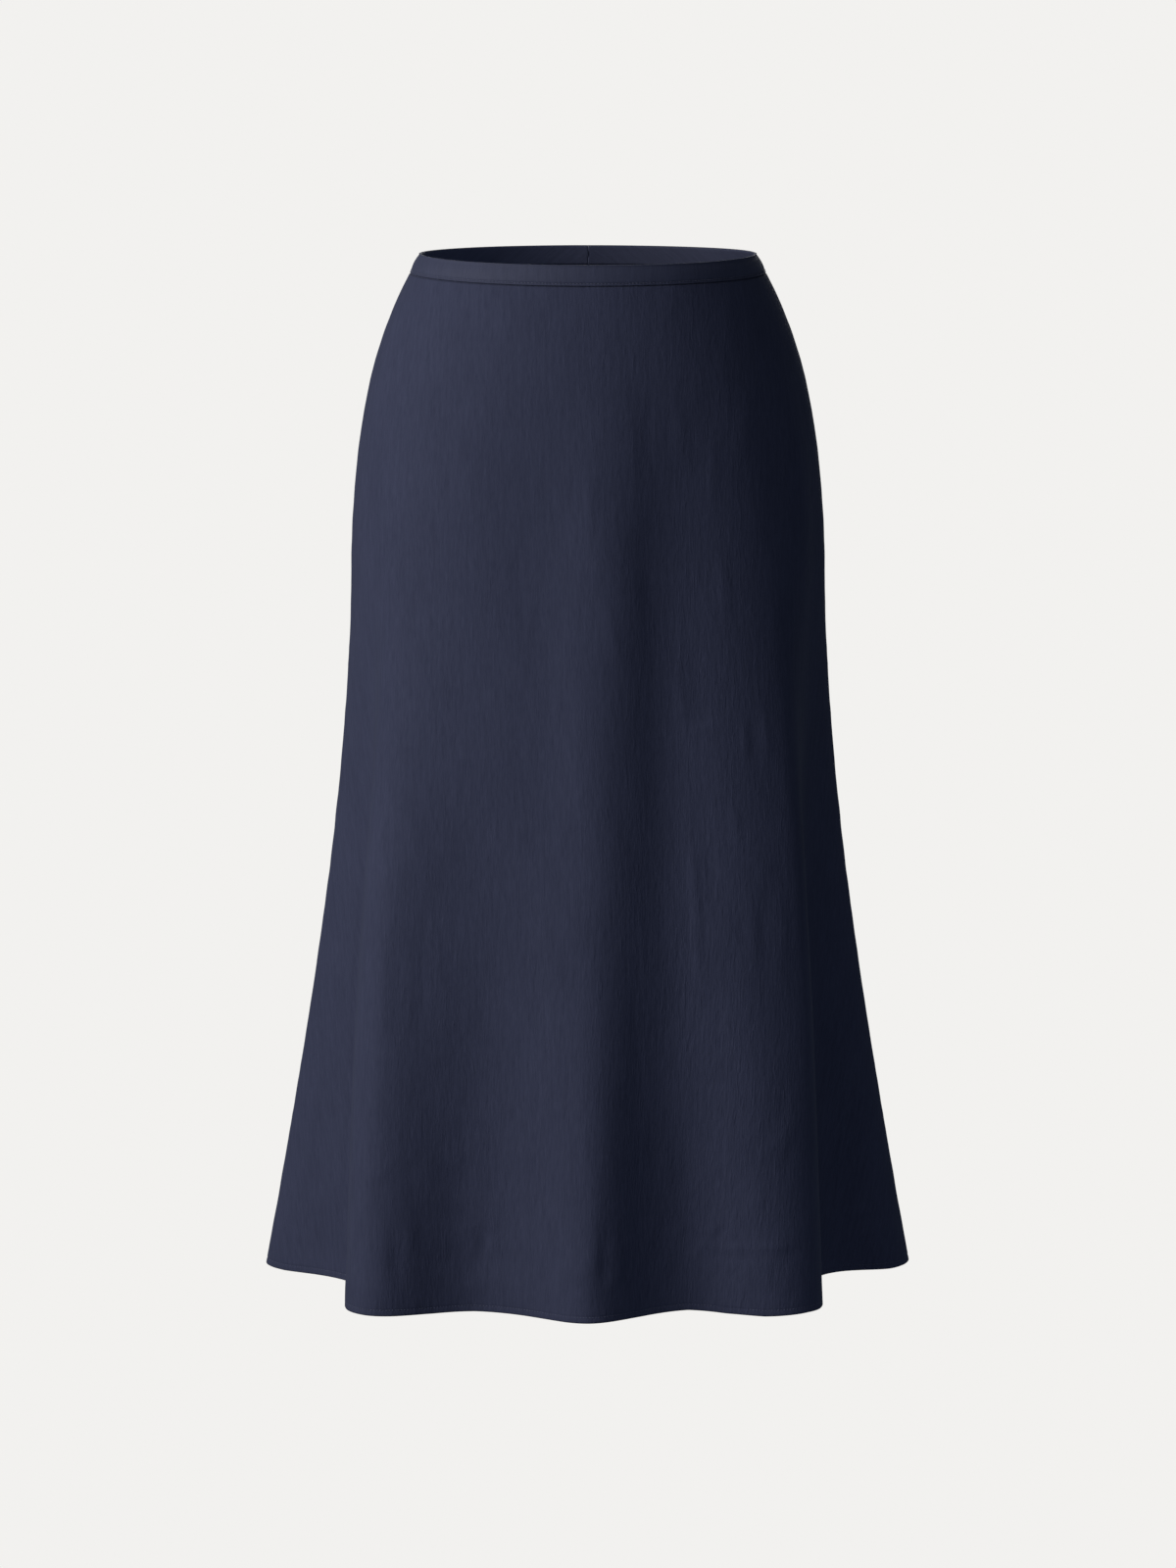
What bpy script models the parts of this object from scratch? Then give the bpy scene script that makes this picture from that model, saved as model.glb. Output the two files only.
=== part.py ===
"""A flared skirt in its worn, hollow form, in metres, with +Z up and the front facing -Y.

The origin is the middle of the waist opening, level with the waist edge at the side seams.
A place on the cloth is given by two numbers. "angle" goes round the body in degrees: 0 is the
front centre, -90 and 90 are the side seams, and 180 is the back centre. "drop" is how far the
place lies below the waist edge of the side seams.
"""

import bpy
import numpy as np
from mathutils import Matrix, Vector

# Lengths down the skirt.
HEM_DROP = 0.8106
KNEE_DROP = 0.500
BAND_DEPTH = 0.0150
HEM_TURN = 0.0080
WAIST_DIP = 0.0111
WAIST_RISE = 0.0081
TILT_ENDS = 0.160
HIP_RISE = (0.05, 0.25)
HIP_FALL = (0.30, 0.62)

# Cloth walls and the gaps between sewn pieces.
WALL = 0.0013
BAND_PROUD = 0.0007
BAND_INSIDE = 0.0017
BAND_ROUNDING = 0.0008
HEM_INSIDE = 0.0021
SEAM_GAP = 0.0003
BAND_OPENING = 0.0014

# Faces along and across each piece.
FRONT_COLUMNS = 56
BACK_COLUMNS = 26
PANEL_ROWS = 19
BAND_COLUMNS = 72
ROW_CROWDING = 1.25

# Closure at the back centre.
ZIP_LENGTH = 0.200
TAPE_WIDTH = 0.024
TAPE_THICKNESS = 0.0009
TAPE_GAP = 0.0006
SLIDER_DROP = 0.0065
SLIDER_SIZE = (0.0044, 0.0018, 0.0080)
NECK_SIZE = (0.0008, 0.0060)
BRIDGE_WIDTH = 0.0016
BRIDGE_HOLE = 0.0021
BRIDGE_BAR = 0.0008
PULL_LENGTH = 0.0190
PULL_WIDTHS = (0.0044, 0.0060)
PULL_THICKNESS = 0.0009
PULL_EYE = (0.0024, 0.0025)
PULL_LEAN = 5.0

# The body of the skirt without its folds: an ellipse at each drop.
# name, drop, half width, depth in front, depth behind
SECTIONS = (
    ("waist edge", 0.0000, 0.1322, 0.1000, 0.1000),
    ("below the band", 0.0250, 0.1456, 0.1045, 0.1065),
    ("high hip", 0.0780, 0.1665, 0.1110, 0.1190),
    ("hip", 0.1400, 0.1800, 0.1170, 0.1280),
    ("seat", 0.2030, 0.1864, 0.1210, 0.1320),
    ("thigh", 0.2960, 0.1894, 0.1280, 0.1320),
    ("lower thigh", 0.3900, 0.1959, 0.1390, 0.1340),
    ("knee", 0.4850, 0.2063, 0.1520, 0.1390),
    ("calf", 0.5800, 0.2200, 0.1660, 0.1470),
    ("lower calf", 0.6760, 0.2358, 0.1810, 0.1580),
    ("hem", HEM_DROP, 0.2601, 0.2000, 0.1760),
)

# The folds: where the cloth of each ridge and hollow lies in plan, at the hips, knee and hem.
# name, angle, drop where it starts, metres out at the hips, x and y at the knee and the hem
FOLDS = (
    ("right side seam", -90, 0.20, 0.0000, -0.2083, 0.0000, -0.2601, 0.0000),
    ("right fin", -82, 0.20, 0.0000, -0.1990, -0.0200, -0.2440, -0.0260),
    ("right fin face", -72, 0.18, 0.0000, -0.1830, -0.0400, -0.2085, -0.0505),
    ("right hollow", -64, 0.18, 0.0000, -0.1710, -0.0610, -0.1830, -0.0900),
    ("right lobe side", -55, 0.20, 0.0005, -0.1750, -0.0975, -0.1880, -0.1500),
    ("right corner", -45, 0.26, -0.0005, -0.1610, -0.1270, -0.1765, -0.1895),
    ("right ridge", -34, 0.30, -0.0035, -0.1270, -0.1355, -0.1460, -0.1935),
    ("right valley", -18, 0.38, -0.0085, -0.0680, -0.1425, -0.0870, -0.1770),
    ("right of centre", -8, 0.27, -0.0080, -0.0270, -0.1525, -0.0410, -0.1940),
    ("centre ridge", 1, 0.16, -0.0030, 0.0080, -0.1565, 0.0030, -0.2160),
    ("left of centre", 9, 0.14, -0.0035, 0.0345, -0.1500, 0.0410, -0.1940),
    ("left valley", 17, 0.12, -0.0075, 0.0600, -0.1420, 0.0770, -0.1790),
    ("left ridge", 32, 0.16, -0.0050, 0.1150, -0.1380, 0.1350, -0.1910),
    ("left corner", 44, 0.18, 0.0000, 0.1535, -0.1255, 0.1700, -0.1830),
    ("left lobe side", 54, 0.16, 0.0010, 0.1700, -0.1060, 0.1815, -0.1500),
    ("left hollow", 64, 0.16, 0.0035, 0.1675, -0.0595, 0.1755, -0.0800),
    ("left fin face", 72, 0.16, 0.0000, 0.1790, -0.0360, 0.1980, -0.0345),
    ("left fin", 82, 0.20, 0.0000, 0.1980, -0.0150, 0.2430, -0.0200),
    ("left side seam", 90, 0.20, 0.0000, 0.2083, 0.0050, 0.2601, 0.0110),
    ("back left fin", 98, 0.20, 0.0000, 0.1980, 0.0250, 0.2460, 0.0380),
    ("back left hollow", 113, 0.20, 0.0000, 0.1730, 0.0560, 0.1960, 0.0800),
    ("back left ridge", 136, 0.24, 0.0020, 0.1420, 0.1080, 0.1660, 0.1660),
    ("back left valley", 158, 0.34, -0.0060, 0.0720, 0.1280, 0.0770, 0.1460),
    ("back centre ridge", 179, 0.26, -0.0020, 0.0030, 0.1470, 0.0040, 0.1880),
    ("back right valley", 202, 0.30, -0.0055, -0.0720, 0.1290, -0.0780, 0.1500),
    ("back right ridge", 224, 0.24, 0.0015, -0.1400, 0.1080, -0.1620, 0.1700),
    ("back right hollow", 247, 0.20, 0.0000, -0.1730, 0.0560, -0.1960, 0.0800),
    ("back right fin", 262, 0.20, 0.0000, -0.1980, 0.0200, -0.2450, 0.0280),
)

CLOTH_BLUE = (0.030, 0.035, 0.068, 1.0)
TAPE_BLUE = (0.022, 0.026, 0.052, 1.0)
ENAMEL_BLUE = (0.020, 0.024, 0.050, 1.0)


def clear_scene():
    for thing in list(bpy.data.objects):
        bpy.data.objects.remove(thing, do_unlink=True)


def column(table, place):
    """One numeric column of a table of named rows."""
    return np.array([row[place] for row in table], float)


def smooth_curve(knots, values, at):
    """The cubic through (knots, values) whose slope at a knot is its neighbours' average."""
    width = np.diff(knots)
    rise = np.diff(values) / width
    slope = np.empty(len(knots))
    slope[1:-1] = (rise[:-1] * width[1:] + rise[1:] * width[:-1]) / (width[:-1] + width[1:])
    slope[0] = 2 * rise[0] - slope[1]
    slope[-1] = 2 * rise[-1] - slope[-2]
    span = np.clip(np.searchsorted(knots, at) - 1, 0, len(width) - 1)
    t = (at - knots[span]) / width[span]
    return (
        values[span] * (2 * t**3 - 3 * t**2 + 1)
        + slope[span] * width[span] * (t**3 - 2 * t**2 + t)
        + values[span + 1] * (3 * t**2 - 2 * t**3)
        + slope[span + 1] * width[span] * (t**3 - t**2)
    )


def ellipse(angle, drop):
    """x and y of the skirt without folds."""
    knots = column(SECTIONS, 1)
    half_width = smooth_curve(knots, column(SECTIONS, 2), drop)
    in_front = smooth_curve(knots, column(SECTIONS, 3), drop)
    behind = smooth_curve(knots, column(SECTIONS, 4), drop)
    forward = np.cos(np.radians(angle))
    x = half_width * np.sin(np.radians(angle))
    y = -forward * np.where(forward > 0, in_front, behind)
    return x, y


def fold_shares(angle):
    """How much each fold row counts at each angle: the closed cubic spline through the rows."""
    knots = column(FOLDS, 1)
    count = len(knots)
    gap = np.diff(np.append(knots, knots[0] + 360))
    before = np.roll(np.arange(count), 1)
    after = np.roll(np.arange(count), -1)
    here = np.arange(count)
    bend = np.zeros((count, count))
    pull = np.zeros((count, count))
    bend[here, before] = gap[before]
    bend[here, here] = 2 * (gap[before] + gap)
    bend[here, after] = gap
    pull[here, before] = 6 / gap[before]
    pull[here, here] = -6 / gap[before] - 6 / gap
    pull[here, after] = 6 / gap
    curvature = np.linalg.solve(bend, pull)
    turned = (angle - knots[0]) % 360
    span = np.clip(np.searchsorted(knots - knots[0], turned, side="right") - 1, 0, count - 1)
    end = (span + 1) % count
    width = gap[span][:, None]
    t = (turned - (knots[span] - knots[0]))[:, None] / width
    row = np.eye(count)
    straight = (1 - t) * row[span] + t * row[end]
    bow = ((1 - t) ** 3 - (1 - t)) * curvature[span] + (t**3 - t) * curvature[end]
    return straight + bow * width**2 / 6


def fold_growth(drop, start, knee, hem):
    """A fold's offset: none down to its start, then a smooth curve through knee and hem."""
    above = KNEE_DROP - start
    below = HEM_DROP - KNEE_DROP
    slope_above = knee / above
    slope_below = (hem - knee) / below
    slope = (slope_above * below + slope_below * above) / (above + below)
    hem_slope = 1.5 * slope_below - 0.5 * slope
    t = np.clip((drop - start) / above, 0, 1)
    upper = knee * (3 * t**2 - 2 * t**3) + slope * above * (t**3 - t**2)
    t = np.clip((drop - KNEE_DROP) / below, 0, 1)
    lower = (
        knee * (2 * t**3 - 3 * t**2 + 1)
        + slope * below * (t**3 - 2 * t**2 + t)
        + hem * (3 * t**2 - 2 * t**3)
        + hem_slope * below * (t**3 - t**2)
    )
    return np.where(drop < KNEE_DROP, upper, lower)


def smooth_step(low, high, value):
    """0 below low, 1 above high, and 3t^2 - 2t^3 between them."""
    t = np.clip((value - low) / (high - low), 0, 1)
    return t * t * (3 - 2 * t)


def hip_share(drop):
    """How much of a fold's offset at the hips shows at each drop."""
    return smooth_step(*HIP_RISE, drop) * (1 - smooth_step(*HIP_FALL, drop))


def cloth(angle, drop):
    """Points of the outer face of the cloth, for arrays of angles and drops."""
    angle, drop = np.broadcast_arrays(np.asarray(angle, float), np.asarray(drop, float))
    shape = angle.shape
    angle = angle.ravel()
    drop = drop.ravel()
    knots = column(FOLDS, 1)
    knee_x, knee_y = ellipse(knots, np.full(len(knots), KNEE_DROP))
    hem_x, hem_y = ellipse(knots, np.full(len(knots), HEM_DROP))
    start = column(FOLDS, 2)
    shares = fold_shares(angle)
    grow_x = fold_growth(drop[:, None], start, column(FOLDS, 4) - knee_x, column(FOLDS, 6) - hem_x)
    grow_y = fold_growth(drop[:, None], start, column(FOLDS, 5) - knee_y, column(FOLDS, 7) - hem_y)
    forward = np.cos(np.radians(angle))
    at_hips = hip_share(drop) * (shares @ column(FOLDS, 3))
    x, y = ellipse(angle, drop)
    x = x + (shares * grow_x).sum(axis=1) + at_hips * np.sin(np.radians(angle))
    y = y + (shares * grow_y).sum(axis=1) - at_hips * forward
    fade = np.clip(1 - drop / TILT_ENDS, 0, 1)
    fade = fade * fade * (3 - 2 * fade)
    z = -drop - fade * forward * np.where(forward > 0, WAIST_DIP, WAIST_RISE)
    return np.stack([x, y, z], axis=1).reshape(shape + (3,))


def cloth_frame(angle, drop):
    """Unit vectors down the cloth and out of it, and the metres round the cloth per degree."""
    step_angle = 0.05
    step_drop = 0.0005
    around = (cloth(angle + step_angle, drop) - cloth(angle - step_angle, drop)) / (2 * step_angle)
    down = cloth(angle, drop + step_drop) - cloth(angle, drop - step_drop)
    speed = np.linalg.norm(around, axis=-1)
    out = np.cross(down, around)
    out /= np.linalg.norm(out, axis=-1, keepdims=True)
    down /= np.linalg.norm(down, axis=-1, keepdims=True)
    return down, out, speed


def degrees_for(length, angle, drop):
    """The change of angle that goes this far round the cloth."""
    return length / cloth_frame(angle, drop)[2]


def material(name, colour, roughness, metallic):
    made = bpy.data.materials.new(name)
    made.use_nodes = True
    shader = made.node_tree.nodes["Principled BSDF"]
    shader.inputs["Base Color"].default_value = colour
    shader.inputs["Roughness"].default_value = roughness
    shader.inputs["Metallic"].default_value = metallic
    made.diffuse_color = colour
    return made


def add_object(name, points, faces, finish, place=None):
    """A named object from points and faces, at the origin or at a matrix."""
    mesh = bpy.data.meshes.new(name)
    mesh.from_pydata([tuple(point) for point in points], [], [tuple(face) for face in faces])
    mesh.materials.append(finish)
    mesh.shade_smooth()
    mesh.set_sharp_from_angle(angle=np.radians(35))
    made = bpy.data.objects.new(name, mesh)
    bpy.context.scene.collection.objects.link(made)
    if place is not None:
        made.matrix_world = place
    return made


def wall(name, angles, rows, finish):
    """A closed cloth wall. angles(drop) gives a row's angles; rows hold drop, outer, inner."""
    drop = np.array([row[0] for row in rows])
    angle = np.array([angles(one) for one in drop])
    drop = np.broadcast_to(drop[:, None], angle.shape)
    centre = cloth(angle, drop)
    out = cloth_frame(angle, drop)[1]
    outer = centre + out * np.array([row[1] for row in rows])[:, None, None]
    inner = centre + out * np.array([row[2] for row in rows])[:, None, None]
    row_count, column_count = angle.shape
    index = np.arange(row_count * column_count).reshape(row_count, column_count)
    corners = (index[:-1, :-1], index[1:, :-1], index[1:, 1:], index[:-1, 1:])
    skin = np.stack([corner.ravel() for corner in corners], axis=1)
    edge = np.concatenate([index[0, :-1], index[:-1, -1], index[-1, :0:-1], index[:0:-1, 0]])
    next_edge = np.roll(edge, -1)
    inside = row_count * column_count
    rim = np.stack([edge, next_edge, next_edge + inside, edge + inside], axis=1)
    faces = np.concatenate([skin, skin[:, ::-1] + inside, rim])
    points = np.concatenate([outer.reshape(-1, 3), inner.reshape(-1, 3)])
    return add_object(name, points, faces, finish)


def panel_rows():
    """Rows from just under the waistband to the hem, whose turned-up cloth is thicker."""
    top = BAND_DEPTH + SEAM_GAP
    turn = HEM_DROP - HEM_TURN
    steps = np.linspace(0, 1, PANEL_ROWS - 1) ** ROW_CROWDING
    rows = [(top + (turn - top) * step, 0.0, -WALL) for step in steps]
    rows.append((turn + BAND_ROUNDING, 0.0, -HEM_INSIDE))
    rows.append((HEM_DROP, 0.0, -HEM_INSIDE))
    return rows


def between_seams(first, last, columns):
    """A row's angles between two seams, each edge half a seam gap inside its seam line."""

    def angles(drop):
        start = first + degrees_for(SEAM_GAP / 2, first, drop)
        end = last - degrees_for(SEAM_GAP / 2, last, drop)
        return np.linspace(start, end, columns + 1)

    return angles


def front_panel(finish):
    wall("front_panel", between_seams(-90.0, 90.0, FRONT_COLUMNS), panel_rows(), finish)


def back_panels(finish):
    wall("back_left_panel", between_seams(90.0, 180.0, BACK_COLUMNS), panel_rows(), finish)
    wall("back_right_panel", between_seams(180.0, 270.0, BACK_COLUMNS), panel_rows(), finish)


def waistband(finish):
    """One folded strip right round the waist, open at the back centre for the zip."""
    rows = (
        (0.0, BAND_PROUD - BAND_ROUNDING, BAND_ROUNDING - BAND_INSIDE),
        (BAND_ROUNDING, BAND_PROUD, -BAND_INSIDE),
        (BAND_DEPTH / 2, BAND_PROUD, -BAND_INSIDE),
        (BAND_DEPTH - BAND_ROUNDING, BAND_PROUD, -BAND_INSIDE),
        (BAND_DEPTH, BAND_PROUD / 2, -BAND_INSIDE),
    )

    def angles(drop):
        shift = degrees_for(BAND_OPENING / 2, 180.0, drop)
        return np.linspace(-180 + shift, 180 - shift, BAND_COLUMNS + 1)

    wall("waistband", angles, rows, finish)


def zip_tape(finish):
    """The zip's two tapes and coil as one strip, behind the back centre seam."""
    behind_band = -BAND_INSIDE - TAPE_GAP
    behind_panel = -WALL - TAPE_GAP
    step_end = BAND_DEPTH + 3 * BAND_ROUNDING
    drops = [BAND_ROUNDING, BAND_DEPTH / 2, BAND_DEPTH + BAND_ROUNDING]
    rows = [(drop, behind_band, behind_band - TAPE_THICKNESS) for drop in drops]
    for drop in np.linspace(step_end, ZIP_LENGTH, 7):
        rows.append((drop, behind_panel, behind_panel - TAPE_THICKNESS))

    def angles(drop):
        shift = degrees_for(TAPE_WIDTH / 2, 180.0, drop)
        return np.linspace(180 - shift, 180 + shift, 7)

    wall("zip_tape", angles, rows, finish)


def box_points(low, high):
    """The eight corners of a box."""
    ends = (low, high)
    return [(ends[i][0], ends[j][1], ends[k][2]) for k in (0, 1) for j in (0, 1) for i in (0, 1)]


BOX_FACES = ((0, 2, 3, 1), (4, 5, 7, 6), (0, 1, 5, 4), (2, 6, 7, 3), (0, 4, 6, 2), (1, 3, 7, 5))


def combine(target, points, finish, place, operation):
    """Joins a box to the target object, or cuts it away."""
    helper = add_object(target.name + "_helper", points, BOX_FACES, finish, place)
    helper.hide_render = True
    helper.display_type = "WIRE"
    step = target.modifiers.new(operation.lower(), "BOOLEAN")
    step.operation = operation
    step.object = helper


def slider_place():
    """The slider's frame: X across the zip, Y out of the cloth, Z up along the cloth."""
    down, out, _ = cloth_frame(180.0, SLIDER_DROP)
    turn = Matrix([(1, 0, 0), tuple(out), tuple(-down)]).transposed().to_4x4()
    return Matrix.Translation(Vector(cloth(180.0, SLIDER_DROP))) @ turn


def slider_faces():
    """How far out of the cloth the slider's body starts and ends, and its hinge lies."""
    body_in = BAND_PROUD + SEAM_GAP
    body_out = body_in + SLIDER_SIZE[1]
    return body_in, body_out, body_out + BRIDGE_HOLE / 2


def zip_slider(finish):
    """A body on the seam, a neck through the band's opening, and a bridge for the pull."""
    place = slider_place()
    body_in, body_out, hinge = slider_faces()
    half = SLIDER_SIZE[0] / 2
    high = SLIDER_SIZE[2] / 2
    body = box_points((-half, body_in, -high), (half, body_out, high))
    slider = add_object("zip_slider", body, BOX_FACES, finish, place)
    neck = NECK_SIZE[0] / 2
    neck_high = NECK_SIZE[1] / 2
    inside = body_in + SLIDER_SIZE[1] / 2
    tape_side = -BAND_INSIDE - TAPE_GAP + SEAM_GAP
    stem = box_points((-neck, tape_side, -neck_high), (neck, inside, neck_high))
    combine(slider, stem, finish, place, "UNION")
    bridge = BRIDGE_WIDTH / 2
    bridge_high = BRIDGE_HOLE / 2 + BRIDGE_BAR
    bridge_out = body_out + BRIDGE_HOLE + BRIDGE_BAR
    arch = box_points((-bridge, inside, -bridge_high), (bridge, bridge_out, bridge_high))
    combine(slider, arch, finish, place, "UNION")
    hole = BRIDGE_HOLE / 2
    cutter = box_points((-half, hinge - hole, -hole), (half, hinge + hole, hole))
    combine(slider, cutter, finish, place, "DIFFERENCE")


def zip_pull(finish):
    """A drop-shaped tab. Its top bar lies in the slider's bridge, on the hinge line."""
    hinge = slider_faces()[2]
    lean = Matrix.Rotation(np.radians(-PULL_LEAN), 4, "X")
    place = slider_place() @ Matrix.Translation((0, hinge, 0)) @ lean
    bar = PULL_THICKNESS / 2
    narrow, wide = (width / 2 for width in PULL_WIDTHS)
    tip = PULL_LENGTH - wide
    bow = np.radians(np.linspace(-90, 90, 9))
    right = [(wide * np.cos(turn), -tip + wide * np.sin(turn)) for turn in bow]
    lower = [(x, z) for x, z in right if z <= -tip]
    outline = [(-narrow, bar), (-narrow, bar - PULL_EYE[1] - 2 * bar)]
    outline += [(-x, z) for x, z in reversed(lower)]
    outline += [(x, z) for x, z in lower[1:]]
    outline += [(narrow, bar - PULL_EYE[1] - 2 * bar), (narrow, bar)]
    count = len(outline)
    points = [(x, -bar, z) for x, z in outline] + [(x, bar, z) for x, z in outline]
    faces = [tuple(range(count)), tuple(range(2 * count - 1, count - 1, -1))]
    for first in range(count):
        second = (first + 1) % count
        faces.append((first, first + count, second + count, second))
    pull = add_object("zip_pull", points, faces, finish, place)
    eye = PULL_EYE[0] / 2
    cutter = box_points((-eye, -3 * bar, -bar - PULL_EYE[1]), (eye, 3 * bar, -bar))
    combine(pull, cutter, finish, place, "DIFFERENCE")


def main():
    clear_scene()
    cloth_finish = material("navy_cloth", CLOTH_BLUE, 0.80, 0.0)
    band_finish = material("navy_band", CLOTH_BLUE, 0.80, 0.0)
    tape_finish = material("navy_tape", TAPE_BLUE, 0.75, 0.0)
    enamel_finish = material("navy_enamel", ENAMEL_BLUE, 0.35, 0.6)
    front_panel(cloth_finish)
    back_panels(cloth_finish)
    waistband(band_finish)
    zip_tape(tape_finish)
    zip_slider(enamel_finish)
    zip_pull(enamel_finish)


main()
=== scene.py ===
# %% [markdown]
# # A flared midi skirt, one piece of cloth at a time
#
# The skirt is a narrow folded waistband, a front cut in one piece, two backs and a concealed zip.
# A plain model of it exists already: closed walls with the right size and the big folds. That
# model is the fixed frame here. It could be painted as it is, but its faces are a centimetre or
# two wide, so every piece of cloth is worked out again, finer, on the same surface.

# %% Load the frame
import math

import bmesh
import bpy
import numpy as np
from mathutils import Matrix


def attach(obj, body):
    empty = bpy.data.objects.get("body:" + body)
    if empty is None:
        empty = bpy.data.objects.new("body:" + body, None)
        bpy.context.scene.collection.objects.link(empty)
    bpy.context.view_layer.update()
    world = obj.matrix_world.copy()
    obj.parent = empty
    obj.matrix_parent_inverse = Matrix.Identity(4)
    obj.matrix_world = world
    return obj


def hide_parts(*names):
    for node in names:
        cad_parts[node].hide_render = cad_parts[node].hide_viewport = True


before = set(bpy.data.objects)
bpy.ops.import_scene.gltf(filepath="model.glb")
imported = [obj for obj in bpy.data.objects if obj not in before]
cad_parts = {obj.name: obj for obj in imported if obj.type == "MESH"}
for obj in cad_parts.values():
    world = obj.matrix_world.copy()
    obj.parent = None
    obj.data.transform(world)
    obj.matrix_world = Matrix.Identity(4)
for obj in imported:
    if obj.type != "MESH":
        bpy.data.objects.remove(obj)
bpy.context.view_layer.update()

# %% [markdown]
# ## The camera
#
# The picture is taken from far away with a long lens, because the sides of the skirt hardly
# change width with depth. Two things give the height: the camera looks a little down into the
# waist, and the far hem at the sides shows higher than the near hem in front. A camera at waist
# height, 3.5 m off and tilted down, shows both. Blender measures the sensor along the longer side
# of the picture, here its height.

# %% Camera
PICTURE_HEIGHT_PX = 1600
SENSOR = 36.0
FOCAL_PX = 4487.0
CENTRE_BELOW_HORIZON_PX = 460.0
CAMERA_PLACE = (0.0, -3.5, -0.0632)

camera_data = bpy.data.cameras.new("camera")
camera_data.sensor_width = SENSOR
camera_data.lens = FOCAL_PX / PICTURE_HEIGHT_PX * SENSOR
camera = bpy.data.objects.new("camera", camera_data)
camera.location = CAMERA_PLACE
tilt_down = math.atan(CENTRE_BELOW_HORIZON_PX / FOCAL_PX)
camera.rotation_euler = (math.radians(90) - tilt_down, 0.0, 0.0)
bpy.context.scene.collection.objects.link(camera)
bpy.context.scene.camera = camera
print("lens %.1f mm, tilted down %.2f degrees" % (camera_data.lens, math.degrees(tilt_down)))

# %% [markdown]
# ## The studio
#
# The cloth is dark and the picture's background is one flat pale tone without a shadow, as when
# a skirt hangs well in front of an evenly lit wall. A lit wall could be modelled, but its light
# would also fall on the dark side of the skirt. So the floor and the background shine by
# themselves in that tone, and only the camera sees them. The floor shows from above alone, so a
# camera that is lower than the floor still finds the skirt.
#
# The standard view transform keeps the tones as they are. One large soft lamp stands on the
# left, as the bright left side and the dark right side ask. A weak one in front opens the
# shadows, and one behind lights the back for the views from there. Another weak one lies low on
# the right, because a pale floor sends light back up: the dark side of the skirt is a little
# lighter near its hem than near its waist. A tiny one, hidden inside the waist, keeps the inside
# of the band from going black where the large lamp can't reach.

# %% Background
PALE = (0.888, 0.880, 0.863, 1.0)
SHADE_TINT = (0.66, 0.79, 1.0, 1.0)
SHADE_STRENGTH = 0.112

scene = bpy.context.scene
scene.view_settings.view_transform = "Standard"
scene.view_settings.look = "None"

world = bpy.data.worlds.new("studio")
world.use_nodes = True
scene.world = world
nodes, links = world.node_tree.nodes, world.node_tree.links
nodes.clear()
seen = nodes.new("ShaderNodeBackground")
seen.inputs["Color"].default_value = PALE
shade = nodes.new("ShaderNodeBackground")
shade.inputs["Color"].default_value = SHADE_TINT
shade.inputs["Strength"].default_value = SHADE_STRENGTH
which_ray = nodes.new("ShaderNodeLightPath")
either = nodes.new("ShaderNodeMixShader")
world_end = nodes.new("ShaderNodeOutputWorld")
links.new(which_ray.outputs["Is Camera Ray"], either.inputs["Fac"])
links.new(shade.outputs["Background"], either.inputs[1])
links.new(seen.outputs["Background"], either.inputs[2])
links.new(either.outputs["Shader"], world_end.inputs["Surface"])
print("the world is pale to the camera and gives %.3f of bluish light" % SHADE_STRENGTH)

# %% Floor
FLOOR_LEVEL = -1.15
FLOOR_RADIUS = 30.0


def disc(radius, level, corners=64):
    """Corner k lies at (radius cos a, radius sin a, level) for a = 360 k / corners degrees."""
    turn = np.linspace(0, 2 * np.pi, corners, endpoint=False)
    points = np.stack([radius * np.cos(turn), radius * np.sin(turn), np.full(corners, level)], 1)
    mesh = bpy.data.meshes.new("studio_floor")
    mesh.from_pydata(points.tolist(), [], [tuple(range(corners))])
    return mesh


floor_finish = bpy.data.materials.new("pale_floor")
floor_finish.use_nodes = True
nodes, links = floor_finish.node_tree.nodes, floor_finish.node_tree.links
nodes.clear()
glow = nodes.new("ShaderNodeEmission")
glow.inputs["Color"].default_value = PALE
clear = nodes.new("ShaderNodeBsdfTransparent")
side = nodes.new("ShaderNodeNewGeometry")
either = nodes.new("ShaderNodeMixShader")
floor_end = nodes.new("ShaderNodeOutputMaterial")
links.new(side.outputs["Backfacing"], either.inputs["Fac"])
links.new(glow.outputs["Emission"], either.inputs[1])
links.new(clear.outputs["BSDF"], either.inputs[2])
links.new(either.outputs["Shader"], floor_end.inputs["Surface"])

floor = bpy.data.objects.new("studio_floor", disc(FLOOR_RADIUS, FLOOR_LEVEL))
floor.data.materials.append(floor_finish)
floor.visible_diffuse = False
floor.visible_glossy = False
floor.visible_shadow = False
scene.collection.objects.link(floor)
print("the floor lies %.2f m below the waist" % -FLOOR_LEVEL)

# %% Lamps
MIDDLE_OF_SKIRT = (0.0, 0.0, -0.42)
INSIDE_OF_WAIST = (-0.112, 0.048, -0.004)
WHITE = (1.0, 1.0, 1.0)
BLUISH = SHADE_TINT[:3]

# name, what it faces, degrees round from the front (left is negative), degrees up, distance, width,
# height, watts, colour
LAMPS = (
    ("key_lamp", MIDDLE_OF_SKIRT, -60, 23, 2.6, 1.4, 2.0, 70.0, WHITE),
    ("front_fill", MIDDLE_OF_SKIRT, -5, 8, 3.2, 1.6, 2.0, 4.0, WHITE),
    ("back_fill", MIDDLE_OF_SKIRT, 176, 25, 3.0, 1.6, 1.8, 26.0, WHITE),
    ("floor_bounce", MIDDLE_OF_SKIRT, 48, -26, 1.5, 1.6, 0.5, 1.7, BLUISH),
    ("waist_glow", INSIDE_OF_WAIST, 52, -14, 0.10, 0.03, 0.015, 0.018, BLUISH),
)


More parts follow.
